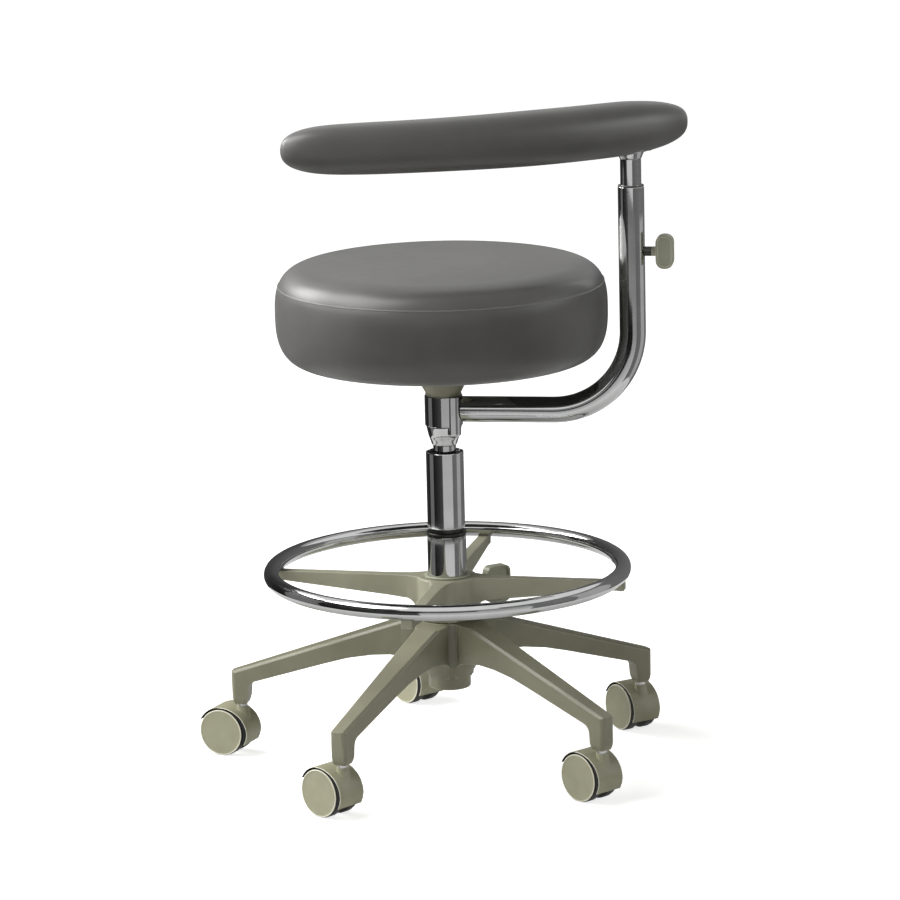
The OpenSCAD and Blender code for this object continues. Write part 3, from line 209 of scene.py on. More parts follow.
def hoop(name, ring_r, section, sides=144):
    """A ring about Z: section is a list of (radius, height) points in mm, closed on itself."""
    deselect()
    mesh = bpy.data.meshes.new(name)
    piece = bpy.data.objects.new(name, mesh)
    bpy.context.scene.collection.objects.link(piece)
    form = bmesh.new()
    rings = []
    for i in range(sides):
        turn = 2 * math.pi * i / sides
        c, s = math.cos(turn), math.sin(turn)
        rings.append([
            form.verts.new(((ring_r + u) * MM * c, (ring_r + u) * MM * s, z * MM))
            for u, z in section
        ])
    for i in range(sides):
        ahead = rings[(i + 1) % sides]
        for j in range(len(section)):
            k = (j + 1) % len(section)
            form.faces.new((rings[i][j], ahead[j], ahead[k], rings[i][k]))
    bmesh.ops.recalc_face_normals(form, faces=form.faces)
    form.to_mesh(mesh)
    form.free()
    return piece


def copy_of(piece, name):
    """A second piece with its own mesh."""
    twin = piece.copy()
    twin.data = piece.data.copy()
    bpy.context.scene.collection.objects.link(twin)
    return named(twin, name)


def skin_copy(node, name):
    """A node's own shape as one joined skin."""
    twin = bpy.data.objects.new(name, nodes[node].data.copy())
    twin.data.name = name
    bpy.context.scene.collection.objects.link(twin)
    pick(twin)
    bpy.ops.object.mode_set(mode="EDIT")
    bpy.ops.mesh.select_all(action="SELECT")
    bpy.ops.mesh.remove_doubles(threshold=0.005 * MM)
    bpy.ops.mesh.dissolve_limited(angle_limit=math.radians(0.4))
    bpy.ops.object.mode_set(mode="OBJECT")
    return twin


def rounded(twin, width, material, edge=None, steps=2, angle=40):
    """Rounds a piece's hard edges, width in mm, and lets its broad faces lead the shading. edge is
    the material of the rounding itself, where it differs: a paler one, a painted highlight."""
    dress(twin, material)
    if width:
        bevel = twin.modifiers.new("rounding", "BEVEL")
        if edge:
            twin.data.materials.append(edge)
            bevel.material = 1
        bevel.width = width * MM
        bevel.segments = steps
        bevel.limit_method = "ANGLE"
        bevel.angle_limit = math.radians(angle)
        bevel.use_clamp_overlap = True
        apply_all(twin)
    smooth(twin, 38)
    lead = twin.modifiers.new("lead", "WEIGHTED_NORMAL")
    lead.keep_sharp = True
    lead.weight = 60
    apply_all(twin)
    return twin


def carve(piece, cutter, operation="DIFFERENCE"):
    """Cuts one piece's shape out of another or joins it on, and clears that piece away."""
    cut = piece.modifiers.new("cut", "BOOLEAN")
    cut.operation = operation
    cut.solver = "EXACT"
    cut.object = cutter
    apply_all(piece)
    bpy.data.objects.remove(cutter)


def choose(piece, kind, test):
    """In edit mode, selects the vertices, edges or faces whose middle passes a test in mm."""
    bpy.ops.mesh.select_mode(type=kind)
    bpy.ops.mesh.select_all(action="DESELECT")
    form = bmesh.from_edit_mesh(piece.data)
    for part in {"VERT": form.verts, "EDGE": form.edges, "FACE": form.faces}[kind]:
        if kind == "VERT":
            middle = part.co
        elif kind == "EDGE":
            middle = (part.verts[0].co + part.verts[1].co) / 2
        else:
            middle = part.calc_center_median()
        part.select = test(middle / MM)
    form.select_flush_mode()
    bmesh.update_edit_mesh(piece.data)


def level_with(piece, place, turn):
    """Takes a piece turned about Z onto an axle: its Z comes to lie level, at turn degrees."""
    pick(piece)
    piece.matrix_world = (
        Matrix.Translation([c * MM for c in place])
        @ Matrix.Rotation(math.radians(turn), 4, "Z")
        @ Matrix.Rotation(math.radians(90), 4, "Y")
    )
    bpy.ops.object.transform_apply(location=True, rotation=True, scale=True)
    return piece


def touch(piece, material, test):
    """Gives the faces whose middle passes a test in mm a second material."""
    piece.data.materials.append(material)
    for face in piece.data.polygons:
        if test(face.center / MM):
            face.material_index = len(piece.data.materials) - 1


def dress(piece, material, body=None, *stands_for):
    """Gives a piece its material, its body and the CAD nodes that it stands for."""
    if material:
        piece.data.materials.clear()
        piece.data.materials.append(material)
    if body:
        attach(piece, body)
    if stands_for:
        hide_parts(*stands_for)


# ---------------------------------------------------------------- materials
def linear(code):
    """An sRGB hex colour as the linear one that a shader takes."""
    values = [int(code[i:i + 2], 16) / 255 for i in (1, 3, 5)]
    return [v / 12.92 if v <= 0.04045 else ((v + 0.055) / 1.055) ** 2.4 for v in values] + [1.0]


def add(tree, kind, settings=None, links=None):
    """Adds a node with its settings and its incoming links."""
    made = tree.nodes.new(kind)
    for key, value in (settings or {}).items():
        if isinstance(key, int) or key in made.inputs:
            made.inputs[key].default_value = value
        else:
            setattr(made, key, value)
    for key, source in (links or {}).items():
        tree.links.new(source, made.inputs[key])
    return made


def blank(name):
    """A new material with an empty node tree."""
    material = bpy.data.materials.new(name)
    material.use_nodes = True
    tree = material.node_tree
    tree.nodes.clear()
    return material, tree


def two_tones(tree, share, low, high, at=(0.35, 0.65)):
    """A colour that goes from low to high as share does."""
    ramp = add(tree, "ShaderNodeValToRGB", links={"Fac": share})
    ramp.color_ramp.elements[0].position = at[0]
    ramp.color_ramp.elements[1].position = at[1]
    ramp.color_ramp.elements[0].color = linear(low)
    ramp.color_ramp.elements[1].color = linear(high)
    return ramp.outputs["Color"]


def finish_of(tree, shader_settings, shader_links):
    """The shader itself and the material's output."""
    shader = add(tree, "ShaderNodeBsdfPrincipled", shader_settings, shader_links)
    add(tree, "ShaderNodeOutputMaterial", links={"Surface": shader.outputs["BSDF"]})


def noise(tree, place, cells, detail):
    """A noise whose cells measure so many mm."""
    return add(tree, "ShaderNodeTexNoise", {"Scale": 1 / (cells * MM), "Detail": detail},
               {"Vector": place}).outputs["Fac"]


def span(tree, value, start, end, low, high):
    """Takes a value from the range start to end onto the range low to high."""
    return add(tree, "ShaderNodeMapRange",
               {"From Min": start, "From Max": end, "To Min": low, "To Max": high},
               {"Value": value}).outputs["Result"]


def bump(tree, strength, depth, height, normal=None):
    """A bump of a depth in mm, over a normal where one is given."""
    links = {"Height": height}
    if normal:
        links["Normal"] = normal
    return add(tree, "ShaderNodeBump", {"Strength": strength, "Distance": depth * MM},
               links).outputs["Normal"]


def vinyl(name, low, high, roughness):
    """Expanded vinyl upholstery: a skin with a fine leather grain, softly glossy, very even in
    colour. The grain's cells are 0.9 mm, drawn 1.5 mm so that they show."""
    material, tree = blank(name)
    place = add(tree, "ShaderNodeTexCoord").outputs["Object"]
    grain = add(tree, "ShaderNodeTexVoronoi", {"Scale": 1 / (1.5 * MM), "feature": "SMOOTH_F1"},
                {"Vector": place})
    cloud = noise(tree, place, 70, 3.0)
    sheen = noise(tree, place, 9, 4.0)
    creep = bump(tree, 0.03, 0.3, cloud)
    finish_of(tree, {"IOR": 1.5, "Sheen Weight": 0.08, "Sheen Roughness": 0.5}, {
        "Base Color": two_tones(tree, cloud, low, high),
        "Roughness": span(tree, sheen, 0.3, 0.7, roughness - 0.01, roughness + 0.015),
        "Normal": bump(tree, 0.10, 0.08, grain.outputs["Distance"], creep),
    })
    return material


def enamel(name, low, high, edge, roughness, edge_r):
    """Sprayed and baked enamel on a casting: an even colour with a slight orange peel of about
    2 mm, a painted highlight that makes the rounded edges paler, edge being its colour, and
    painted shade that makes the corners darker."""
    material, tree = blank(name)
    place = add(tree, "ShaderNodeTexCoord").outputs["Object"]
    cloud = noise(tree, place, 45, 3.0)
    peel = noise(tree, place, 2.2, 2.0)
    round_edge = add(tree, "ShaderNodeBevel", {"samples": 6, "Radius": edge_r * MM})
    flat = add(tree, "ShaderNodeNewGeometry").outputs["Normal"]
    meet = add(tree, "ShaderNodeVectorMath", {"operation": "DOT_PRODUCT"},
               {0: round_edge.outputs["Normal"], 1: flat})
    # Painted highlight: paler where the rounding turns the normal away from the flat face.
    painted_edge_highlight = span(tree, meet.outputs["Value"], 0.99, 0.86, 0.0, 0.75)
    # Painted shade: darker in the corners, as an ambient occlusion node finds them.
    corner = add(tree, "ShaderNodeAmbientOcclusion", {"samples": 6, "Distance": 55 * MM})
    painted_corner_shade = span(tree, corner.outputs["AO"], 0.25, 0.85, 0.72, 1.0)
    tone_with_painted_shade = add(tree, "ShaderNodeVectorMath", {"operation": "SCALE"},
               {0: two_tones(tree, cloud, low, high), "Scale": painted_corner_shade})
    mixed = add(tree, "ShaderNodeMix", {"data_type": "RGBA", 7: linear(edge)},
                {0: painted_edge_highlight, 6: tone_with_painted_shade.outputs["Vector"]})
    finish_of(tree, {"IOR": 1.5}, {
        "Base Color": mixed.outputs[2],
        "Roughness": span(tree, cloud, 0.3, 0.7, roughness - 0.03, roughness + 0.05),
        "Normal": bump(tree, 0.05, 0.1, peel, round_edge.outputs["Normal"]),
    })
    return material


def moulded(name, low, high, roughness, grit=1.2, depth=0.05):
    """Moulded nylon or ABS: a dull even colour with the fine spark texture of the mould, about
    1 mm. grit is its spacing and depth its depth, in mm."""
    material, tree = blank(name)
    place = add(tree, "ShaderNodeTexCoord").outputs["Object"]
    cloud = noise(tree, place, 18, 4.0)
    spark = noise(tree, place, grit, 3.0)
    round_edge = add(tree, "ShaderNodeBevel", {"samples": 4, "Radius": 0.8 * MM})
    finish_of(tree, {"IOR": 1.48}, {
        "Base Color": two_tones(tree, cloud, low, high),
        "Roughness": span(tree, spark, 0.3, 0.7, roughness - 0.04, roughness + 0.05),
        "Normal": bump(tree, 0.08, depth, spark, round_edge.outputs["Normal"]),
    })
    return material


def metal(name, low, high, roughness, spread=0.03, lay=None):
    """A metal: plating or bare steel. Gloss drifts over 25 mm patches where hands wipe it; lay is
    the spacing in mm of drawing or grinding lines along Z, where the real one has them."""
    material, tree = blank(name)
    place = add(tree, "ShaderNodeTexCoord").outputs["Object"]
    wipe = noise(tree, place, 25, 4.0)
    links = {
        "Base Color": two_tones(tree, wipe, low, high),
        "Roughness": span(tree, wipe, 0.35, 0.7, roughness, roughness + spread),
    }
    if lay:
        along = add(tree, "ShaderNodeMapping", {"Scale": (1.0, 1.0, 0.04)}, {"Vector": place})
        lines = noise(tree, along.outputs["Vector"], lay, 2.0)
        links["Normal"] = bump(tree, 0.1, 0.02, lines)
    finish_of(tree, {"Metallic": 1.0}, links)
    return material


def plywood(name):
    """Birch plywood: pale veneer with a straight brown grain 3 mm apart."""
    material, tree = blank(name)
    place = add(tree, "ShaderNodeTexCoord").outputs["Object"]
    along = add(tree, "ShaderNodeMapping", {"Scale": (0.06, 1.0, 1.0)}, {"Vector": place})
    grain = noise(tree, along.outputs["Vector"], 3, 5.0)
    finish_of(tree, {"IOR": 1.5, "Roughness": 0.6}, {
        "Base Color": two_tones(tree, grain, "#b58f5c", "#d9bb86"),
        "Normal": bump(tree, 0.15, 0.1, grain),
    })
    return material


# Seat and pad upholstery, and the welt along the seat's seam, paler than the cover as a painted
# highlight.
grey_vinyl = vinyl("grey_vinyl", "#4e4d4b", "#555452", 0.38)
piping_vinyl_highlight = vinyl("piping_vinyl_highlight", "#6a6967", "#72716e", 0.32)
# Baked enamel: the base and the spindle's collar, the paler spider, and a paler enamel on the edges
# of both as a painted highlight.
putty_enamel = enamel("putty_enamel", "#7f7d68", "#878570", "#c2c0ab", 0.34, 1.8)
pale_enamel = enamel("pale_enamel", "#979580", "#9f9d88", "#c9c7b4", 0.32, 1.8)
enamel_edge_highlight = enamel("enamel_edge_highlight", "#c4c2ae", "#cac8b4", "#d0ceba", 0.28, 1.0)
# Moulded nylon: the caster hoods, the wheels' faces, and a paler one on rims and edges as a painted
# highlight.
putty_nylon = moulded("putty_nylon", "#99977d", "#a19f86", 0.42)
putty_disc = moulded("putty_disc", "#9c9a81", "#a2a087", 0.36)
painted_rim_highlight = moulded("painted_rim_highlight", "#e0decb", "#e6e4d2", 0.3)
# Rubber treads, and the unlit gap between a wheel and its hood.
dark_tread = moulded("dark_tread", "#2b2a25", "#34332d", 0.55, 1.6, 0.1)
shade_gap = moulded("shade_gap", "#0b0b09", "#12120f", 0.7, 1.6, 0.1)
# ABS knobs and ring sleeve, black cambric dust cover, dark liner and grip, rubber, pale bushes.
olive_plastic = moulded("olive_plastic", "#a2a38d", "#abac96", 0.36)
dust_cloth = moulded("dust_cloth", "#161615", "#1f1f1d", 0.75, 1.6, 0.12)
dark_plastic = moulded("dark_plastic", "#3b3b36", "#444440", 0.42)
black_rubber = moulded("black_rubber", "#1e1e1d", "#272726", 0.6)
pale_nylon = moulded("pale_nylon", "#dcdace", "#e6e4d9", 0.45)
# Chromed tubes, pressed plate, oiled steel, zinc plate on screws, ground steel of rod and axles.
bright_chrome = metal("bright_chrome", "#c2c3c2", "#c9cac9", 0.07)
plate_steel = metal("plate_steel", "#4b4b48", "#565653", 0.5, 0.1)
dark_steel = metal("dark_steel", "#3a3a37", "#474743", 0.28, 0.08)
zinc_steel = metal("zinc_steel", "#a3a39f", "#b4b4b0", 0.26, 0.1)
ground_steel = metal("ground_steel", "#bcbcb9", "#cacac8", 0.14, 0.05, 0.5)
# The seat's board and the pad's board.
birch_plywood = plywood("birch_plywood")

NODE_FINISH = {
    "base_casting": putty_enamel, "stem_sleeves": zinc_steel, "column_lower": bright_chrome,
    "column_spigot": dark_steel, "stop_ring": dark_steel, "column_upper": bright_chrome,
    "guide_bush": black_rubber, "column_foot": zinc_steel, "piston_rod": ground_steel,
    "lift_buffer": black_rubber, "thrust_bearing": ground_steel, "rod_clip": dark_steel,
    "gas_cylinder": bright_chrome, "seat_spindle": putty_enamel, "arm_retainer": bright_chrome,
    "seat_plate": plate_steel, "seat_board": birch_plywood, "seat_screws": zinc_steel,
    "seat_cushion": grey_vinyl, "release_pin": ground_steel, "lever_rod": zinc_steel,
    "lever_grip": dark_plastic, "arm_hub": bright_chrome, "hub_bushes": pale_nylon,
    "arm_tube": bright_chrome, "tube_liner": dark_plastic, "clamp_nut": dark_steel,
    "arm_knob": olive_plastic, "arm_knob_screw": zinc_steel, "post_tube": bright_chrome,
    "pad_bracket": bright_chrome, "pad_board": birch_plywood, "pad_screws": zinc_steel,
    "pad_cushion": grey_vinyl, "ring_liner": olive_plastic, "ring_spider": pale_enamel,
    "foot_ring": bright_chrome, "ring_screws": zinc_steel, "ring_knob": olive_plastic,
    "ring_knob_screw": zinc_steel,
}
for k in range(1, 6):
    NODE_FINISH[f"caster_hood_{k}"] = putty_nylon
    NODE_FINISH[f"caster_pins_{k}"] = ground_steel
    for side in ("left", "right"):
        NODE_FINISH[f"wheel_{k}_{side}"] = putty_disc
for node, material in NODE_FINISH.items():
    dress(nodes[node], material)


# ---------------------------------------------------------------- padded pieces
def skin_of(name, rings):
    """A closed skin over rings of points in mm, each end closed on its middle."""
    mesh = bpy.data.meshes.new(name)
    piece = bpy.data.objects.new(name, mesh)
    bpy.context.scene.collection.objects.link(piece)
    form = bmesh.new()
    loops = [[form.verts.new([c * MM for c in point]) for point in ring] for ring in rings]
    for near, far in zip(loops, loops[1:]):
        for i in range(len(near)):
            j = (i + 1) % len(near)
            form.faces.new((near[i], near[j], far[j], far[i]))
    for loop in (loops[0], loops[-1]):
        edges = [form.edges.get((loop[i], loop[(i + 1) % len(loop)])) for i in range(len(loop))]
        middle = form.verts.new(sum((v.co for v in loop), Vector()) / len(loop))
        for edge in edges:
            form.faces.new((edge.verts[0], edge.verts[1], middle))
    bmesh.ops.recalc_face_normals(form, faces=form.faces)
    form.to_mesh(mesh)
    form.free()
    return piece


def subdivide_once(piece):
    """Subdivides a skin by one level and shades it smooth."""
    sub = piece.modifiers.new("skin", "SUBSURF")
    sub.levels = 1
    sub.render_levels = 1
    apply_all(piece)
    pick(piece)
    bpy.ops.object.shade_smooth()


def seat_profile(drawn_in):
    """(radius, height over the board's underside) down the cushion from its crown, in mm."""
    wide = SEAT_H * SEAT_WIDE
    low_r, top_r = SEAT_R * SEAT_LOW_R, SEAT_R * SEAT_TOP_R
    shoulder = SEAT_H * (1 - SEAT_CROWN)
    points = []
    for i in range(1, CROWN_STEPS):
        r = top_r * i / CROWN_STEPS
        points.append((r, shoulder + SEAT_H * SEAT_CROWN * (1 - (r / top_r) ** 2) - drawn_in))
    for i in range(QUARTER_STEPS, -1, -1):
        a = math.radians(90 * i / QUARTER_STEPS)
        points.append((
            top_r + (SEAT_R - drawn_in - top_r) * math.cos(a) ** (2 / SEAT_HIGH_POWER),
            wide + (shoulder - drawn_in - wide) * math.sin(a) ** (2 / SEAT_HIGH_POWER),
        ))
    for i in range(QUARTER_STEPS - 1, -1, -1):
        a = math.radians(90 * i / QUARTER_STEPS)
        points.append((
            low_r + (SEAT_R - drawn_in - low_r) * math.sin(a) ** (2 / SEAT_LOW_POWER),
            wide - wide * math.cos(a) ** (2 / SEAT_LOW_POWER),
        ))
    recess_r, recess_h = BOARD_R + BOARD_GAP, BOARD_T + BOARD_GAP
    points += [(recess_r, 0.0), (recess_r, BOARD_T * 0.5), (recess_r, recess_h)]
    points += [(recess_r * s, recess_h) for s in (0.8, 0.6, 0.4, 0.2)]
    return points


def circle(r, count):
    """Points of a circle, as (x, y)."""
    turns = [2 * math.pi * i / count for i in range(count)]
    return [(r * math.cos(turn), r * math.sin(turn)) for turn in turns]


seat_cover = skin_of("seat_cover", [
    [(x, y, SEAT_BOTTOM + z) for x, y in circle(r, SEAT_SIDES)] for r, z in seat_profile(COVER_IN)
])
subdivide_once(seat_cover)
dress(seat_cover, grey_vinyl, "seat", "seat_cushion")


def cover_r(height):
    """Radius of the finished cover at a height over the floor, in mm."""
    band, inner_r, enough = 3 * MM, 150 * MM, 40
    near = [v.co for v in seat_cover.data.vertices if abs(v.co.z - height * MM) < band]
    rim = [v for v in near if math.hypot(v.x, v.y) > inner_r]
    rim.sort(key=lambda v: abs(v.z - height * MM))
    few = rim[:enough]
    return sum(math.hypot(v.x, v.y) for v in few) / len(few) / MM


seam_z = SEAT_BOTTOM + SEAT_H * SEAM_SHARE
seam_r = cover_r(seam_z)
piping = hoop("seat_piping", seam_r - WELT_IN, [
    (x, seam_z + y) for x, y in circle(WELT_R, WELT_SIDES)
], SEAM_SIDES)
pick(piping)
bpy.ops.object.shade_smooth()
dress(piping, piping_vinyl_highlight, "seat")


def pad_place(along, size, turn):
    """A point on the pad's skin: distance along from the post, share of its size, turn round it."""
    angle = along / PAD_R
    centre = (PAD_R * math.sin(angle), PAD_R * (1 - math.cos(angle)))
    c, s = math.cos(turn), math.sin(turn)
    u = PAD_DEPTH / 2 * size * math.copysign(abs(c) ** (2 / PAD_POWER), c)
    w = PAD_H / 2 * size * math.copysign(abs(s) ** (2 / PAD_POWER), s)
    x, y = centre[0] + u * math.sin(angle), centre[1] - u * math.cos(angle)
    arm, own = math.radians(ARM_ANGLE), math.radians(ARM_ANGLE + PAD_ANGLE)
    return (
        ARM_REACH * math.cos(arm) + x * math.cos(own) - y * math.sin(own),
        ARM_REACH * math.sin(arm) + x * math.sin(own) + y * math.cos(own),
        PAD_Z + w,
    )


def pad_turn(share):
    """A share of the pad's length as a share of a half turn, so that both ends come out round."""
    return math.acos(1 - 2 * share) / math.pi


def pad_size(turn):
    """The pad's size at a share of a half turn, smoothed through the points of its table."""
    table = [(0.0, 0.0)] + [(pad_turn(q), size) for q, size in PAD_SHARES] + [(1.0, 0.0)]
    for k in range(len(table) - 1):
        (a, low), (b, high) = table[k], table[k + 1]
        if a <= turn <= b:
            before, after = table[max(k - 1, 0)], table[min(k + 2, len(table) - 1)]
            rise_in = (high - before[1]) / (b - before[0]) * (b - a)
            rise_out = (after[1] - low) / (after[0] - a) * (b - a)
            t = (turn - a) / (b - a)
            return (
                (2 * t ** 3 - 3 * t ** 2 + 1) * low + (t ** 3 - 2 * t ** 2 + t) * rise_in
                + (3 * t ** 2 - 2 * t ** 3) * high + (t ** 3 - t ** 2) * rise_out
            )
    return 0.0


pad_rings = []
for i in range(1, PAD_STEPS):
    turn = i / PAD_STEPS
    share = (1 - math.cos(math.pi * turn)) / 2
    along = share * (PAD_LONG + PAD_SHORT) - PAD_LONG
    pad_rings.append([
        pad_place(along, pad_size(turn), 2 * math.pi * j / PAD_SIDES) for j in range(PAD_SIDES)
    ])
pad_cover = skin_of("pad_cover", pad_rings)
pick(pad_cover)
bpy.ops.object.shade_smooth()
dress(pad_cover, grey_vinyl, "pad", "pad_cushion")

# ---------------------------------------------------------------- dust cover under the seat
dust_cover = turned("dust_cover", (
    (151.9, SEAT_BOTTOM - 0.1), (152.4, SEAT_BOTTOM - 0.3), (152.4, SEAT_BOTTOM - 0.6),
    (151.8, SEAT_BOTTOM - 0.9), (150.0, SEAT_BOTTOM - 0.9), (36.0, SEAT_BOTTOM - 0.9),
))
settle(dust_cover)
smooth(dust_cover)
dress(dust_cover, dust_cloth, "seat")

# ---------------------------------------------------------------- casters
# One wheel is turned about Z with its face up, then copied onto the ten axles.
face_disc = turned("face_disc", (
    (9.0, 12.0), (DISC_R - 0.6, 12.0), (DISC_R, 12.6), (DISC_R, DISC_FACE - 1.0),
    (DISC_R - 0.2, DISC_FACE - 0.45), (DISC_R - 0.6, DISC_FACE - 0.1), (DISC_R - 1.1, DISC_FACE),
    (DISC_R - 1.6, DISC_FACE - 0.15), (DISC_R - 2.1, DISC_FACE - 0.5),
    (DISC_R - 2.8, DISC_FACE - 0.6), (DISC_R - 9.0, DISC_FACE - 0.5),
    (DISC_R - 18.0, DISC_FACE - 0.4), (2.0, DISC_FACE - 0.35),
))
settle(face_disc)
smooth(face_disc, 42)
dress(face_disc, putty_disc)
# Painted shade on the rim's side in the gap, and a painted highlight on the rim's top.
touch(face_disc, shade_gap, lambda p: p.z < DISC_FACE - 0.8 and math.hypot(p.x, p.y) > DISC_R - 1)
touch(face_disc, painted_rim_highlight, lambda p: p.z > DISC_FACE - 0.7 and math.hypot(p.x, p.y) > DISC_R - 1.6)
tread = turned("tread", (
    (9.0, TREAD_FROM), (WHEEL_R - 1.4, TREAD_FROM), (WHEEL_R - 0.4, TREAD_FROM + 0.4),
    (WHEEL_R, TREAD_FROM + 1.4), (WHEEL_R, TREAD_TO - 1.4), (WHEEL_R - 0.4, TREAD_TO - 0.4),
    (WHEEL_R - 1.4, TREAD_TO), (9.0, TREAD_TO),
))
settle(tread)
smooth(tread, 42)
dress(tread, dark_tread)

# One hood is shaped over the axle, its stem side drawn out, then hollowed and cut along its skirt.
deselect()
bpy.ops.mesh.primitive_cylinder_add(
    vertices=WHEEL_SIDES, radius=HOOD_R * MM, depth=HOOD_W * MM,
    rotation=(math.radians(90), 0, 0),
    location=(CASTER_TRAIL * MM, 0, WHEEL_R * MM),
)
hood = named(bpy.context.active_object, "hood")
bpy.ops.object.transform_apply(location=True, rotation=True, scale=True)
bpy.ops.object.mode_set(mode="EDIT")
axle = (CASTER_TRAIL * MM, 0, WHEEL_R * MM)
choose(hood, "VERT", lambda p: p.x < CASTER_TRAIL - 0.1)
bpy.ops.transform.resize(value=((HOOD_R + HOOD_NOSE) / HOOD_R, 1, 1), center_override=axle)
# Three belts, each narrower than the last, draw the stem side out to a rounder form.
for low, high, share in ((8, 62, 1.012), (14, 58, 1.014), (20, 54, 1.014)):
    choose(hood, "VERT", lambda p: p.x < CASTER_TRAIL - low + 2 and low < p.z - 6 < high - 6)
    bpy.ops.transform.resize(value=(share, 1, 1 + (share - 1) * 0.4), center_override=axle)
choose(hood, "EDGE", lambda p: abs(abs(p.y) - HOOD_W / 2) < 0.01)
bpy.ops.mesh.bevel(offset=0.8 * MM, segments=4, profile=0.5, affect="EDGES")
bpy.ops.object.mode_set(mode="OBJECT")
deselect()
bpy.ops.mesh.primitive_cone_add(
    vertices=64, radius1=BOSS_LOW_R * MM, radius2=BOSS_TOP_R * MM, depth=BOSS_H * MM,
    location=(0, 0, BOSS_Z * MM),
)
carve(hood, bpy.context.active_object, "UNION")
for side in (1, -1):
    deselect()
    bpy.ops.mesh.primitive_cylinder_add(
        vertices=WHEEL_SIDES, radius=HOOD_ROOM * MM, depth=ROOM_DEEP * MM,
        rotation=(math.radians(90), 0, 0),
        location=(CASTER_TRAIL * MM, side * (HOOD_WEB / 2 + ROOM_DEEP / 2) * MM, WHEEL_R * MM),
    )
    carve(hood, bpy.context.active_object)
deselect()
bpy.ops.mesh.primitive_cube_add(
    size=1, location=(CASTER_TRAIL * MM, 0, 0),
    scale=(2 * SKIRT_HALF, SKIRT_WIDE, 2 * SKIRT_Z * MM),
)
skirt = named(bpy.context.active_object, "skirt")
bpy.ops.object.transform_apply(location=True, rotation=True, scale=True)
bpy.ops.object.mode_set(mode="EDIT")
bpy.ops.mesh.select_all(action="SELECT")
bpy.ops.mesh.bisect(plane_co=axle, plane_no=(1, 0, 0))
for side, slope in ((1, SKIRT_TRAIL), (-1, SKIRT_STEM)):
    choose(skirt, "VERT", lambda p: side * (p.x - CASTER_TRAIL) > 1 and p.z > 1)
    bpy.ops.transform.translate(value=(0, 0, -SKIRT_HALF * slope))
choose(skirt, "VERT", lambda p: p.z < 1)
bpy.ops.transform.translate(value=(0, 0, -SKIRT_DEEP))
bpy.ops.object.mode_set(mode="OBJECT")
carve(hood, skirt)
settle(hood)
smooth(hood, 38)


def from_axle(p):
    """How far a point is from the caster's axle, in mm."""
    return math.hypot(p.x - CASTER_TRAIL, p.z - WHEEL_R)


dress(hood, putty_nylon)
# Painted shade inside the hood's room, and a painted highlight along its front rim and on the boss's
# top.
touch(hood, shade_gap, lambda p: from_axle(p) < HOOD_ROOM + 0.2 and abs(p.y) > HOOD_WEB / 2 - 0.1)
touch(hood, painted_rim_highlight, lambda p: from_axle(p) > HOOD_ROOM + 0.1 and abs(p.y) > HOOD_W / 2 - 0.6
      and p.x < CASTER_TRAIL + 4 or p.z > 61.9 and math.hypot(p.x, p.y) < 7.5)

for k in range(1, 6):
    stem = math.radians(BASE_ANGLE + 72 * (k - 1))
    trail = math.radians(CASTER_ANGLES[k - 1])
    cover = copy_of(hood, f"hood_{k}")
    pick(cover)
    cover.matrix_world = (
        Matrix.Translation((BASE_REACH * math.cos(stem) * MM, BASE_REACH * math.sin(stem) * MM, 0))
        @ Matrix.Rotation(trail, 4, "Z")
    )
    bpy.ops.object.transform_apply(location=True, rotation=True, scale=True)
    dress(cover, None, f"caster_{k}", f"caster_hood_{k}")
    centre = (
        BASE_REACH * math.cos(stem) + CASTER_TRAIL * math.cos(trail),
        BASE_REACH * math.sin(stem) + CASTER_TRAIL * math.sin(trail),
        WHEEL_R,
    )
    for side, turn in (("left", 90), ("right", -90)):
        facing = CASTER_ANGLES[k - 1] + turn
        wheel = f"wheel_{k}_{side}"
        rim = level_with(copy_of(tread, f"tread_{k}_{side}"), centre, facing)
        dress(rim, None, wheel, wheel)
        disc = level_with(copy_of(face_disc, f"face_disc_{k}_{side}"), centre, facing)
        dress(disc, None, wheel)
for master in (face_disc, tread, hood):
    bpy.data.objects.remove(master)

# ---------------------------------------------------------------- rigid pieces with rounded edges
body_of = {n: b for b, members in frame["record"]["behaviour"]["bodies"].items() for n in members}
arm_turn = math.radians(ARM_ANGLE)
post_at = (ARM_REACH * math.cos(arm_turn) * MM, ARM_REACH * math.sin(arm_turn) * MM, 0)
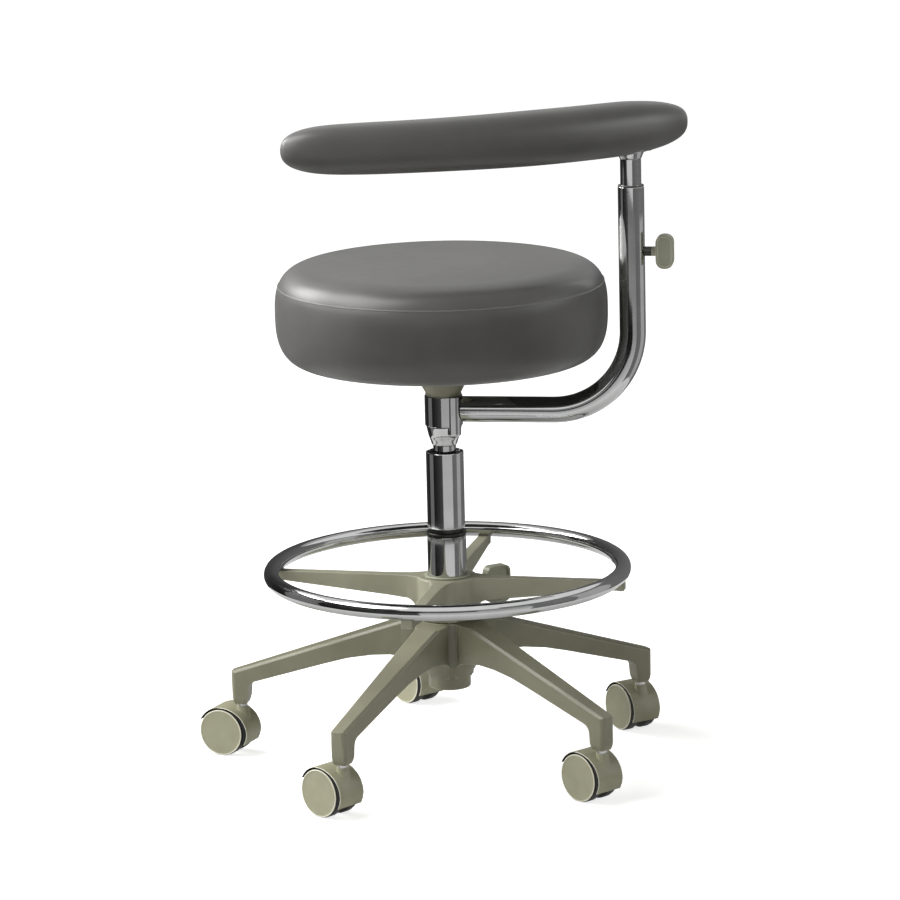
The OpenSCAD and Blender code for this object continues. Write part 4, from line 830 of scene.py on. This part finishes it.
# Turned pieces: (radius, height) round their outline, in mm; each comes back to where it starts.
TURNED = {
    "column_lower": (
        (19.3, 96.5), (21.3, 96.5), (23.9, 148.5), (23.9, 287.4), (23.75, 287.8), (23.3, 288.0),
        (22.2, 288.0), (21.9, 287.7), (21.9, 148.5), (19.3, 96.5),
    ),
    "column_upper": (
        (21.1, 298.3), (21.4, 298.0), (22.4, 298.0), (22.9, 298.2), (23.1, 298.7), (23.1, 391.8),
        (22.9, 392.3), (22.4, 392.5), (21.8, 392.5), (21.1, 391.8), (21.1, 298.3),
    ),
    "column_spigot": (
        (19.1, 262.0), (21.9, 262.0), (21.9, 288.0), (20.6, 288.0), (20.6, 298.0), (21.1, 298.0),
        (21.1, 324.0), (19.1, 324.0), (19.1, 262.0),
    ),
    "stop_ring": (
        (20.6, 289.5), (24.3, 289.5), (24.65, 289.9), (24.65, 292.1), (24.3, 292.5), (20.6, 292.5),
        (20.6, 289.5),
    ),
    "gas_cylinder": (
        (5.1, 131.2), (13.0, 131.2), (14.0, 132.2), (14.0, 425.3), (13.25, 469.3), (4.1, 469.3),
        (4.1, 462.3), (12.0, 455.3), (12.0, 145.2), (5.1, 145.2), (5.1, 131.2),
    ),
    "arm_retainer": (
        (14.0, 401.0), (14.7, 401.0), (15.4, 401.7), (15.8, 402.8), (16.2, 403.9), (16.6, 405.3),
        (17.1, 406.8), (17.5, 408.2), (18.1, 409.8), (18.7, 411.4), (19.3, 413.0), (19.8, 415.3),
        (20.3, 417.5), (20.8, 419.8), (21.3, 422.0), (21.75, 424.3), (21.6, 425.0), (17.6, 425.0),
        (17.6, 414.3), (14.0, 414.3), (14.0, 401.0),
    ),
    "ring_liner": (
        (24.2, 184.1), (26.8, 184.1), (26.8, 236.8), (28.7, 236.8), (29.0, 237.1), (29.0, 238.3),
        (28.6, 238.7), (24.6, 238.7), (24.2, 238.3), (24.2, 184.1),
    ),
    "pad_bracket": (
        (11.0, 752.9), (13.2, 752.9), (13.6, 753.3), (14.0, 755.0), (16.8, 761.2), (20.0, 761.4),
        (20.4, 761.8), (20.4, 764.9), (11.0, 764.9), (11.0, 752.9),
    ),
    "post_tube": (
        (10.7, 570.0), (12.7, 570.0), (12.7, 752.1), (12.4, 752.5), (10.9, 752.5), (10.7, 752.3),
        (10.7, 570.0),
    ),
}
for node, outline in TURNED.items():
    piece = turned(node + "_piece", outline, TURNED_SIDES, True)
    if node in ("post_tube", "pad_bracket"):
        piece.location = post_at
    settle(piece)
    smooth(piece, 15)
    dress(piece, NODE_FINISH[node], body_of[node], node)

# The pad's board is drawn in about the post, so that it stays inside the pad's cover.
board = skin_copy("pad_board", "pad_board_piece")
pick(board)
bpy.ops.object.mode_set(mode="EDIT")
bpy.ops.mesh.select_all(action="SELECT")
bpy.ops.transform.resize(value=(PAD_BOARD_SHARE, PAD_BOARD_SHARE, 1), center_override=post_at)
bpy.ops.object.mode_set(mode="OBJECT")
dress(board, birch_plywood, body_of["pad_board"], "pad_board")

arm = bent_tube(
    "arm_tube_piece", TUBE_R, TUBE_BORE, ARM_FROM, (ARM_REACH, LEVEL_Z), TUBE_TOP, BEND_R
)
arm.rotation_euler = (0, 0, arm_turn)
settle(arm)
smooth(arm, 15)
dress(arm, bright_chrome, body_of["arm_tube"], "arm_tube")

# The arm ends of the casting are drawn in towards their foot before its edges are rounded.
casting = skin_copy("base_casting", "base_casting_piece")
pick(casting)
bpy.ops.object.mode_set(mode="EDIT")
for height in (75, 70.5):
    bpy.ops.mesh.select_all(action="SELECT")
    bpy.ops.mesh.bisect(plane_co=(0, 0, height * MM), plane_no=(0, 0, 1))
for k in range(5):
    turn = math.radians(BASE_ANGLE + 72 * k)
    stem_x, stem_y = BASE_REACH * math.cos(turn), BASE_REACH * math.sin(turn)
    for top, share in ((72, 0.94), (SOCKET_BOTTOM + 0.5, 0.84)):
        choose(casting, "VERT",
               lambda p: p.z < top and 7.4 < math.hypot(p.x - stem_x, p.y - stem_y) < 26)
        bpy.ops.transform.resize(
            value=(share, share, 1), center_override=(stem_x * MM, stem_y * MM, 0)
        )
bpy.ops.object.mode_set(mode="OBJECT")
rounded(casting, 1.5, putty_enamel, enamel_edge_highlight)
dress(casting, None, body_of["base_casting"], "base_casting")

# The other pieces keep their CAD shape and get their edges rounded, by so many mm.
ROUNDED = {
    "ring_spider": 1.4, "seat_spindle": 0.6, "arm_hub": 0.7, "tube_liner": 0.3,
    "foot_ring": 0, "clamp_nut": 0.5, "arm_knob": 1.0, "ring_knob": 0.8, "lever_rod": 0.4,
    "lever_grip": 1.2, "seat_plate": 0.5, "column_foot": 0.4, "piston_rod": 0.3, "ring_screws": 0.3,
    "pad_screws": 0.3, "seat_screws": 0.3, "arm_knob_screw": 0.3, "ring_knob_screw": 0.3,
}
# Pieces whose rounded edges get a paler material, a painted highlight.
EDGE_HIGHLIGHT = {"ring_spider": enamel_edge_highlight, "arm_knob": painted_rim_highlight, "ring_knob": painted_rim_highlight}
for k in range(1, 6):
    ROUNDED[f"caster_pins_{k}"] = 0.4
for node, width in ROUNDED.items():
    piece = rounded(skin_copy(node, node + "_piece"), width, NODE_FINISH[node], EDGE_HIGHLIGHT.get(node))
    dress(piece, None, body_of[node], node)

# ---------------------------------------------------------------- studio
floor_material, tree = blank("studio_floor")
seen = add(tree, "ShaderNodeLightPath")
place = add(tree, "ShaderNodeTexCoord").outputs["Object"]
away = add(tree, "ShaderNodeVectorMath", {"operation": "LENGTH"}, {0: place}).outputs["Value"]
# Gloss sees a darker matte colour than light does: painted shade in the reflections.
tone = add(tree, "ShaderNodeMix",
           {"data_type": "RGBA", 6: linear("#e2e2e0"), 7: linear("#5e5e5c")},
           {0: seen.outputs["Is Glossy Ray"]})
matte = add(tree, "ShaderNodeBsdfDiffuse", links={"Color": tone.outputs[2]})
# It glows more with distance in metres, so that it runs into white. Gloss sees it glow less, the
# least near the stool, a painted shadow of the stool in what the chrome mirrors.
for_camera = add(tree, "ShaderNodeMath", {"operation": "MULTIPLY"},
                 {0: seen.outputs["Is Camera Ray"], 1: span(tree, away, 0.5, 3.0, 0.76, 0.99)})
gloss_glow_painted_shadow = add(tree, "ShaderNodeMath", {"operation": "MULTIPLY"},
                {0: seen.outputs["Is Glossy Ray"], 1: span(tree, away, 0.05, 0.8, 0.38, 0.88)})
share = add(tree, "ShaderNodeMath", {"operation": "ADD"},
            {0: for_camera.outputs["Value"], 1: gloss_glow_painted_shadow.outputs["Value"]})
glow = add(tree, "ShaderNodeEmission", {"Color": (1, 1, 1, 1)},
           {"Strength": share.outputs["Value"]})
sum_up = add(tree, "ShaderNodeAddShader",
             links={0: matte.outputs["BSDF"], 1: glow.outputs["Emission"]})
add(tree, "ShaderNodeOutputMaterial", links={"Surface": sum_up.outputs["Shader"]})

deselect()
bpy.ops.mesh.primitive_plane_add(size=60, location=(0, 0, 0))
floor = named(bpy.context.active_object, "studio_floor")
floor.data.materials.append(floor_material)
floor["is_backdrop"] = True

# White for the camera, for gloss and through glass, and nearly dark as a light.
world = bpy.data.worlds.new("studio")
bpy.context.scene.world = world
world.use_nodes = True
tree = world.node_tree
tree.nodes.clear()
seen = add(tree, "ShaderNodeLightPath")
mirror = add(tree, "ShaderNodeMath", {"operation": "MAXIMUM"},
             {0: seen.outputs["Is Camera Ray"], 1: seen.outputs["Is Glossy Ray"]})
clear = add(tree, "ShaderNodeMath", {"operation": "MAXIMUM"},
            {0: mirror.outputs["Value"], 1: seen.outputs["Is Transmission Ray"]})
dim = add(tree, "ShaderNodeBackground", {"Color": linear("#e4e4e2"), "Strength": 0.04})
white = add(tree, "ShaderNodeBackground", {"Color": (1, 1, 1, 1), "Strength": 1.0})
mix = add(tree, "ShaderNodeMixShader", links={
    0: clear.outputs["Value"], 1: dim.outputs["Background"], 2: white.outputs["Background"]})
add(tree, "ShaderNodeOutputWorld", links={"Surface": mix.outputs["Shader"]})


def soft_light(name, place, aim, size, power):
    """A softbox: a rectangular lamp at a place, turned to what it lights; metres and watts."""
    data = bpy.data.lights.new(name, "AREA")
    data.shape = "RECTANGLE"
    data.size, data.size_y = size
    data.energy = power
    lamp = bpy.data.objects.new(name, data)
    lamp.location = place
    lamp.rotation_euler = (Vector(aim) - Vector(place)).to_track_quat("-Z", "Y").to_euler()
    bpy.context.scene.collection.objects.link(lamp)


def studio_screen(name, start, end, low, high, radius, tone):
    """An upright curved screen that only gloss sees, as a studio sets beside chrome. tone is a
    colour's code, or a function that makes the colour in the tree. start and end are degrees from
    the camera's side, to its right; low, high and radius are metres."""
    material, tree = blank(name)
    shine = add(tree, "ShaderNodeEmission", {"Strength": 1.0})
    if callable(tone):
        tree.links.new(tone(tree), shine.inputs["Color"])
    else:
        shine.inputs["Color"].default_value = linear(tone)
    add(tree, "ShaderNodeOutputMaterial", links={"Surface": shine.outputs["Emission"]})
    form = bmesh.new()
    steps = int((end - start) / SCREEN_STEP)
    ends = []
    for i in range(steps + 1):
        turn = math.radians(-90 + start + (end - start) * i / steps)
        x, y = radius * math.cos(turn), radius * math.sin(turn)
        ends.append((form.verts.new((x, y, low)), form.verts.new((x, y, high))))
    for near, far in zip(ends, ends[1:]):
        form.faces.new((near[0], far[0], far[1], near[1]))
    screen = bpy.data.objects.new(name, bpy.data.meshes.new(name))
    form.to_mesh(screen.data)
    form.free()
    bpy.context.scene.collection.objects.link(screen)
    screen.data.materials.append(material)
    screen.visible_camera = False
    screen.visible_diffuse = False
    screen.visible_shadow = False
    screen.visible_transmission = False
    screen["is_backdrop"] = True


# Plain greys of 10, 50, 75 and 95 per cent.
BLACK, MIDDLE, LIGHT, WHITE = "#1a1a1a", "#808080", "#bfbfbf", "#f2f2f2"
# How far the screens, the cards before them and the flag stand from the stool, and how high.
SCREEN_R, CARD_R, FLAG_R, SCREEN_TOP, CARD_TOP = 0.75, 0.74, 0.73, 0.75, 0.6  # metres
SCREEN_STEP = 6  # degrees to a face of a screen


def across(tree, axis, start, end, low, high):
    """Two tones that run into each other along one axis, from start to end in metres."""
    place = add(tree, "ShaderNodeTexCoord").outputs["Object"]
    along = add(tree, "ShaderNodeSeparateXYZ", links={"Vector": place}).outputs[axis]
    return two_tones(tree, span(tree, along, start, end, 0.0, 1.0), low, high, (0.0, 1.0))


def dim_room(tree):
    """The dim room round the stool: near black on the left, middle grey on the right."""
    return across(tree, "X", -SCREEN_R, SCREEN_R, BLACK, MIDDLE)


def front_box(tree):
    """The softbox in front: white at the floor, middle grey at its upper edge."""
    return across(tree, "Z", 0.0, CARD_TOP, WHITE, MIDDLE)


soft_light("key_left", (-2.4, -1.5, 1.5), (0, 0, 0.45), (1.6, 1.6), 20)
soft_light("high_left", (-1.6, -0.4, 2.4), (0, 0, 0.45), (1.6, 1.6), 56)
soft_light("rim_left", (-2.2, 1.2, 1.9), (0, 0, 0.5), (1.2, 1.2), 55)
soft_light("side_left", (-2.6, 0.3, 1.2), (0, 0, 0.45), (1.6, 1.2), 17)
soft_light("fill_right", (2.6, -0.6, 1.0), (0, 0, 0.3), (1.6, 1.2), 19)

# What the chrome mirrors: a dim room, a softbox in front, a strip light on each side, a light card
# high at the back and a black flag across the front. Angles in steps of 15 degrees.
studio_screen("room_low", -180, 180, 0.0, CARD_TOP, SCREEN_R, dim_room)
studio_screen("room_high", 30, 330, CARD_TOP, SCREEN_TOP, SCREEN_R, dim_room)
studio_screen("softbox_front", -15, 45, 0.0, CARD_TOP, CARD_R, front_box)
studio_screen("strip_left", -105, -75, 0.0, CARD_TOP, CARD_R, MIDDLE)
studio_screen("strip_right", 75, 105, 0.0, CARD_TOP, CARD_R, LIGHT)
studio_screen("card_back", 150, 210, SCREEN_TOP, 1.25, SCREEN_R, LIGHT)
studio_screen("flag_front", -45, 15, 0.35, 0.45, FLAG_R, BLACK)

# ---------------------------------------------------------------- camera
# Its lens, in mm, its place and its turn were fitted to points of the photo.
lens = bpy.data.cameras.new("photo_view")
lens.lens = 172.0
lens.sensor_width = 36.0
lens.sensor_fit = "HORIZONTAL"
lens.clip_end = 60.0
camera = bpy.data.objects.new("photo_view", lens)
right = Vector((0.99973051, -0.00612124, -0.02239265))
up = Vector((0.02318082, 0.21150184, 0.97710267))
back = Vector((-0.001245, -0.97735843, 0.21158674))
place = Vector((0.0, -5.12896, 1.50374))
camera.matrix_world = Matrix((
    (right.x, up.x, back.x, place.x),
    (right.y, up.y, back.y, place.y),
    (right.z, up.z, back.z, place.z),
    (0, 0, 0, 1),
))
bpy.context.scene.collection.objects.link(camera)
bpy.context.scene.camera = camera
bpy.context.scene.view_settings.view_transform = "Standard"

low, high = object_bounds()
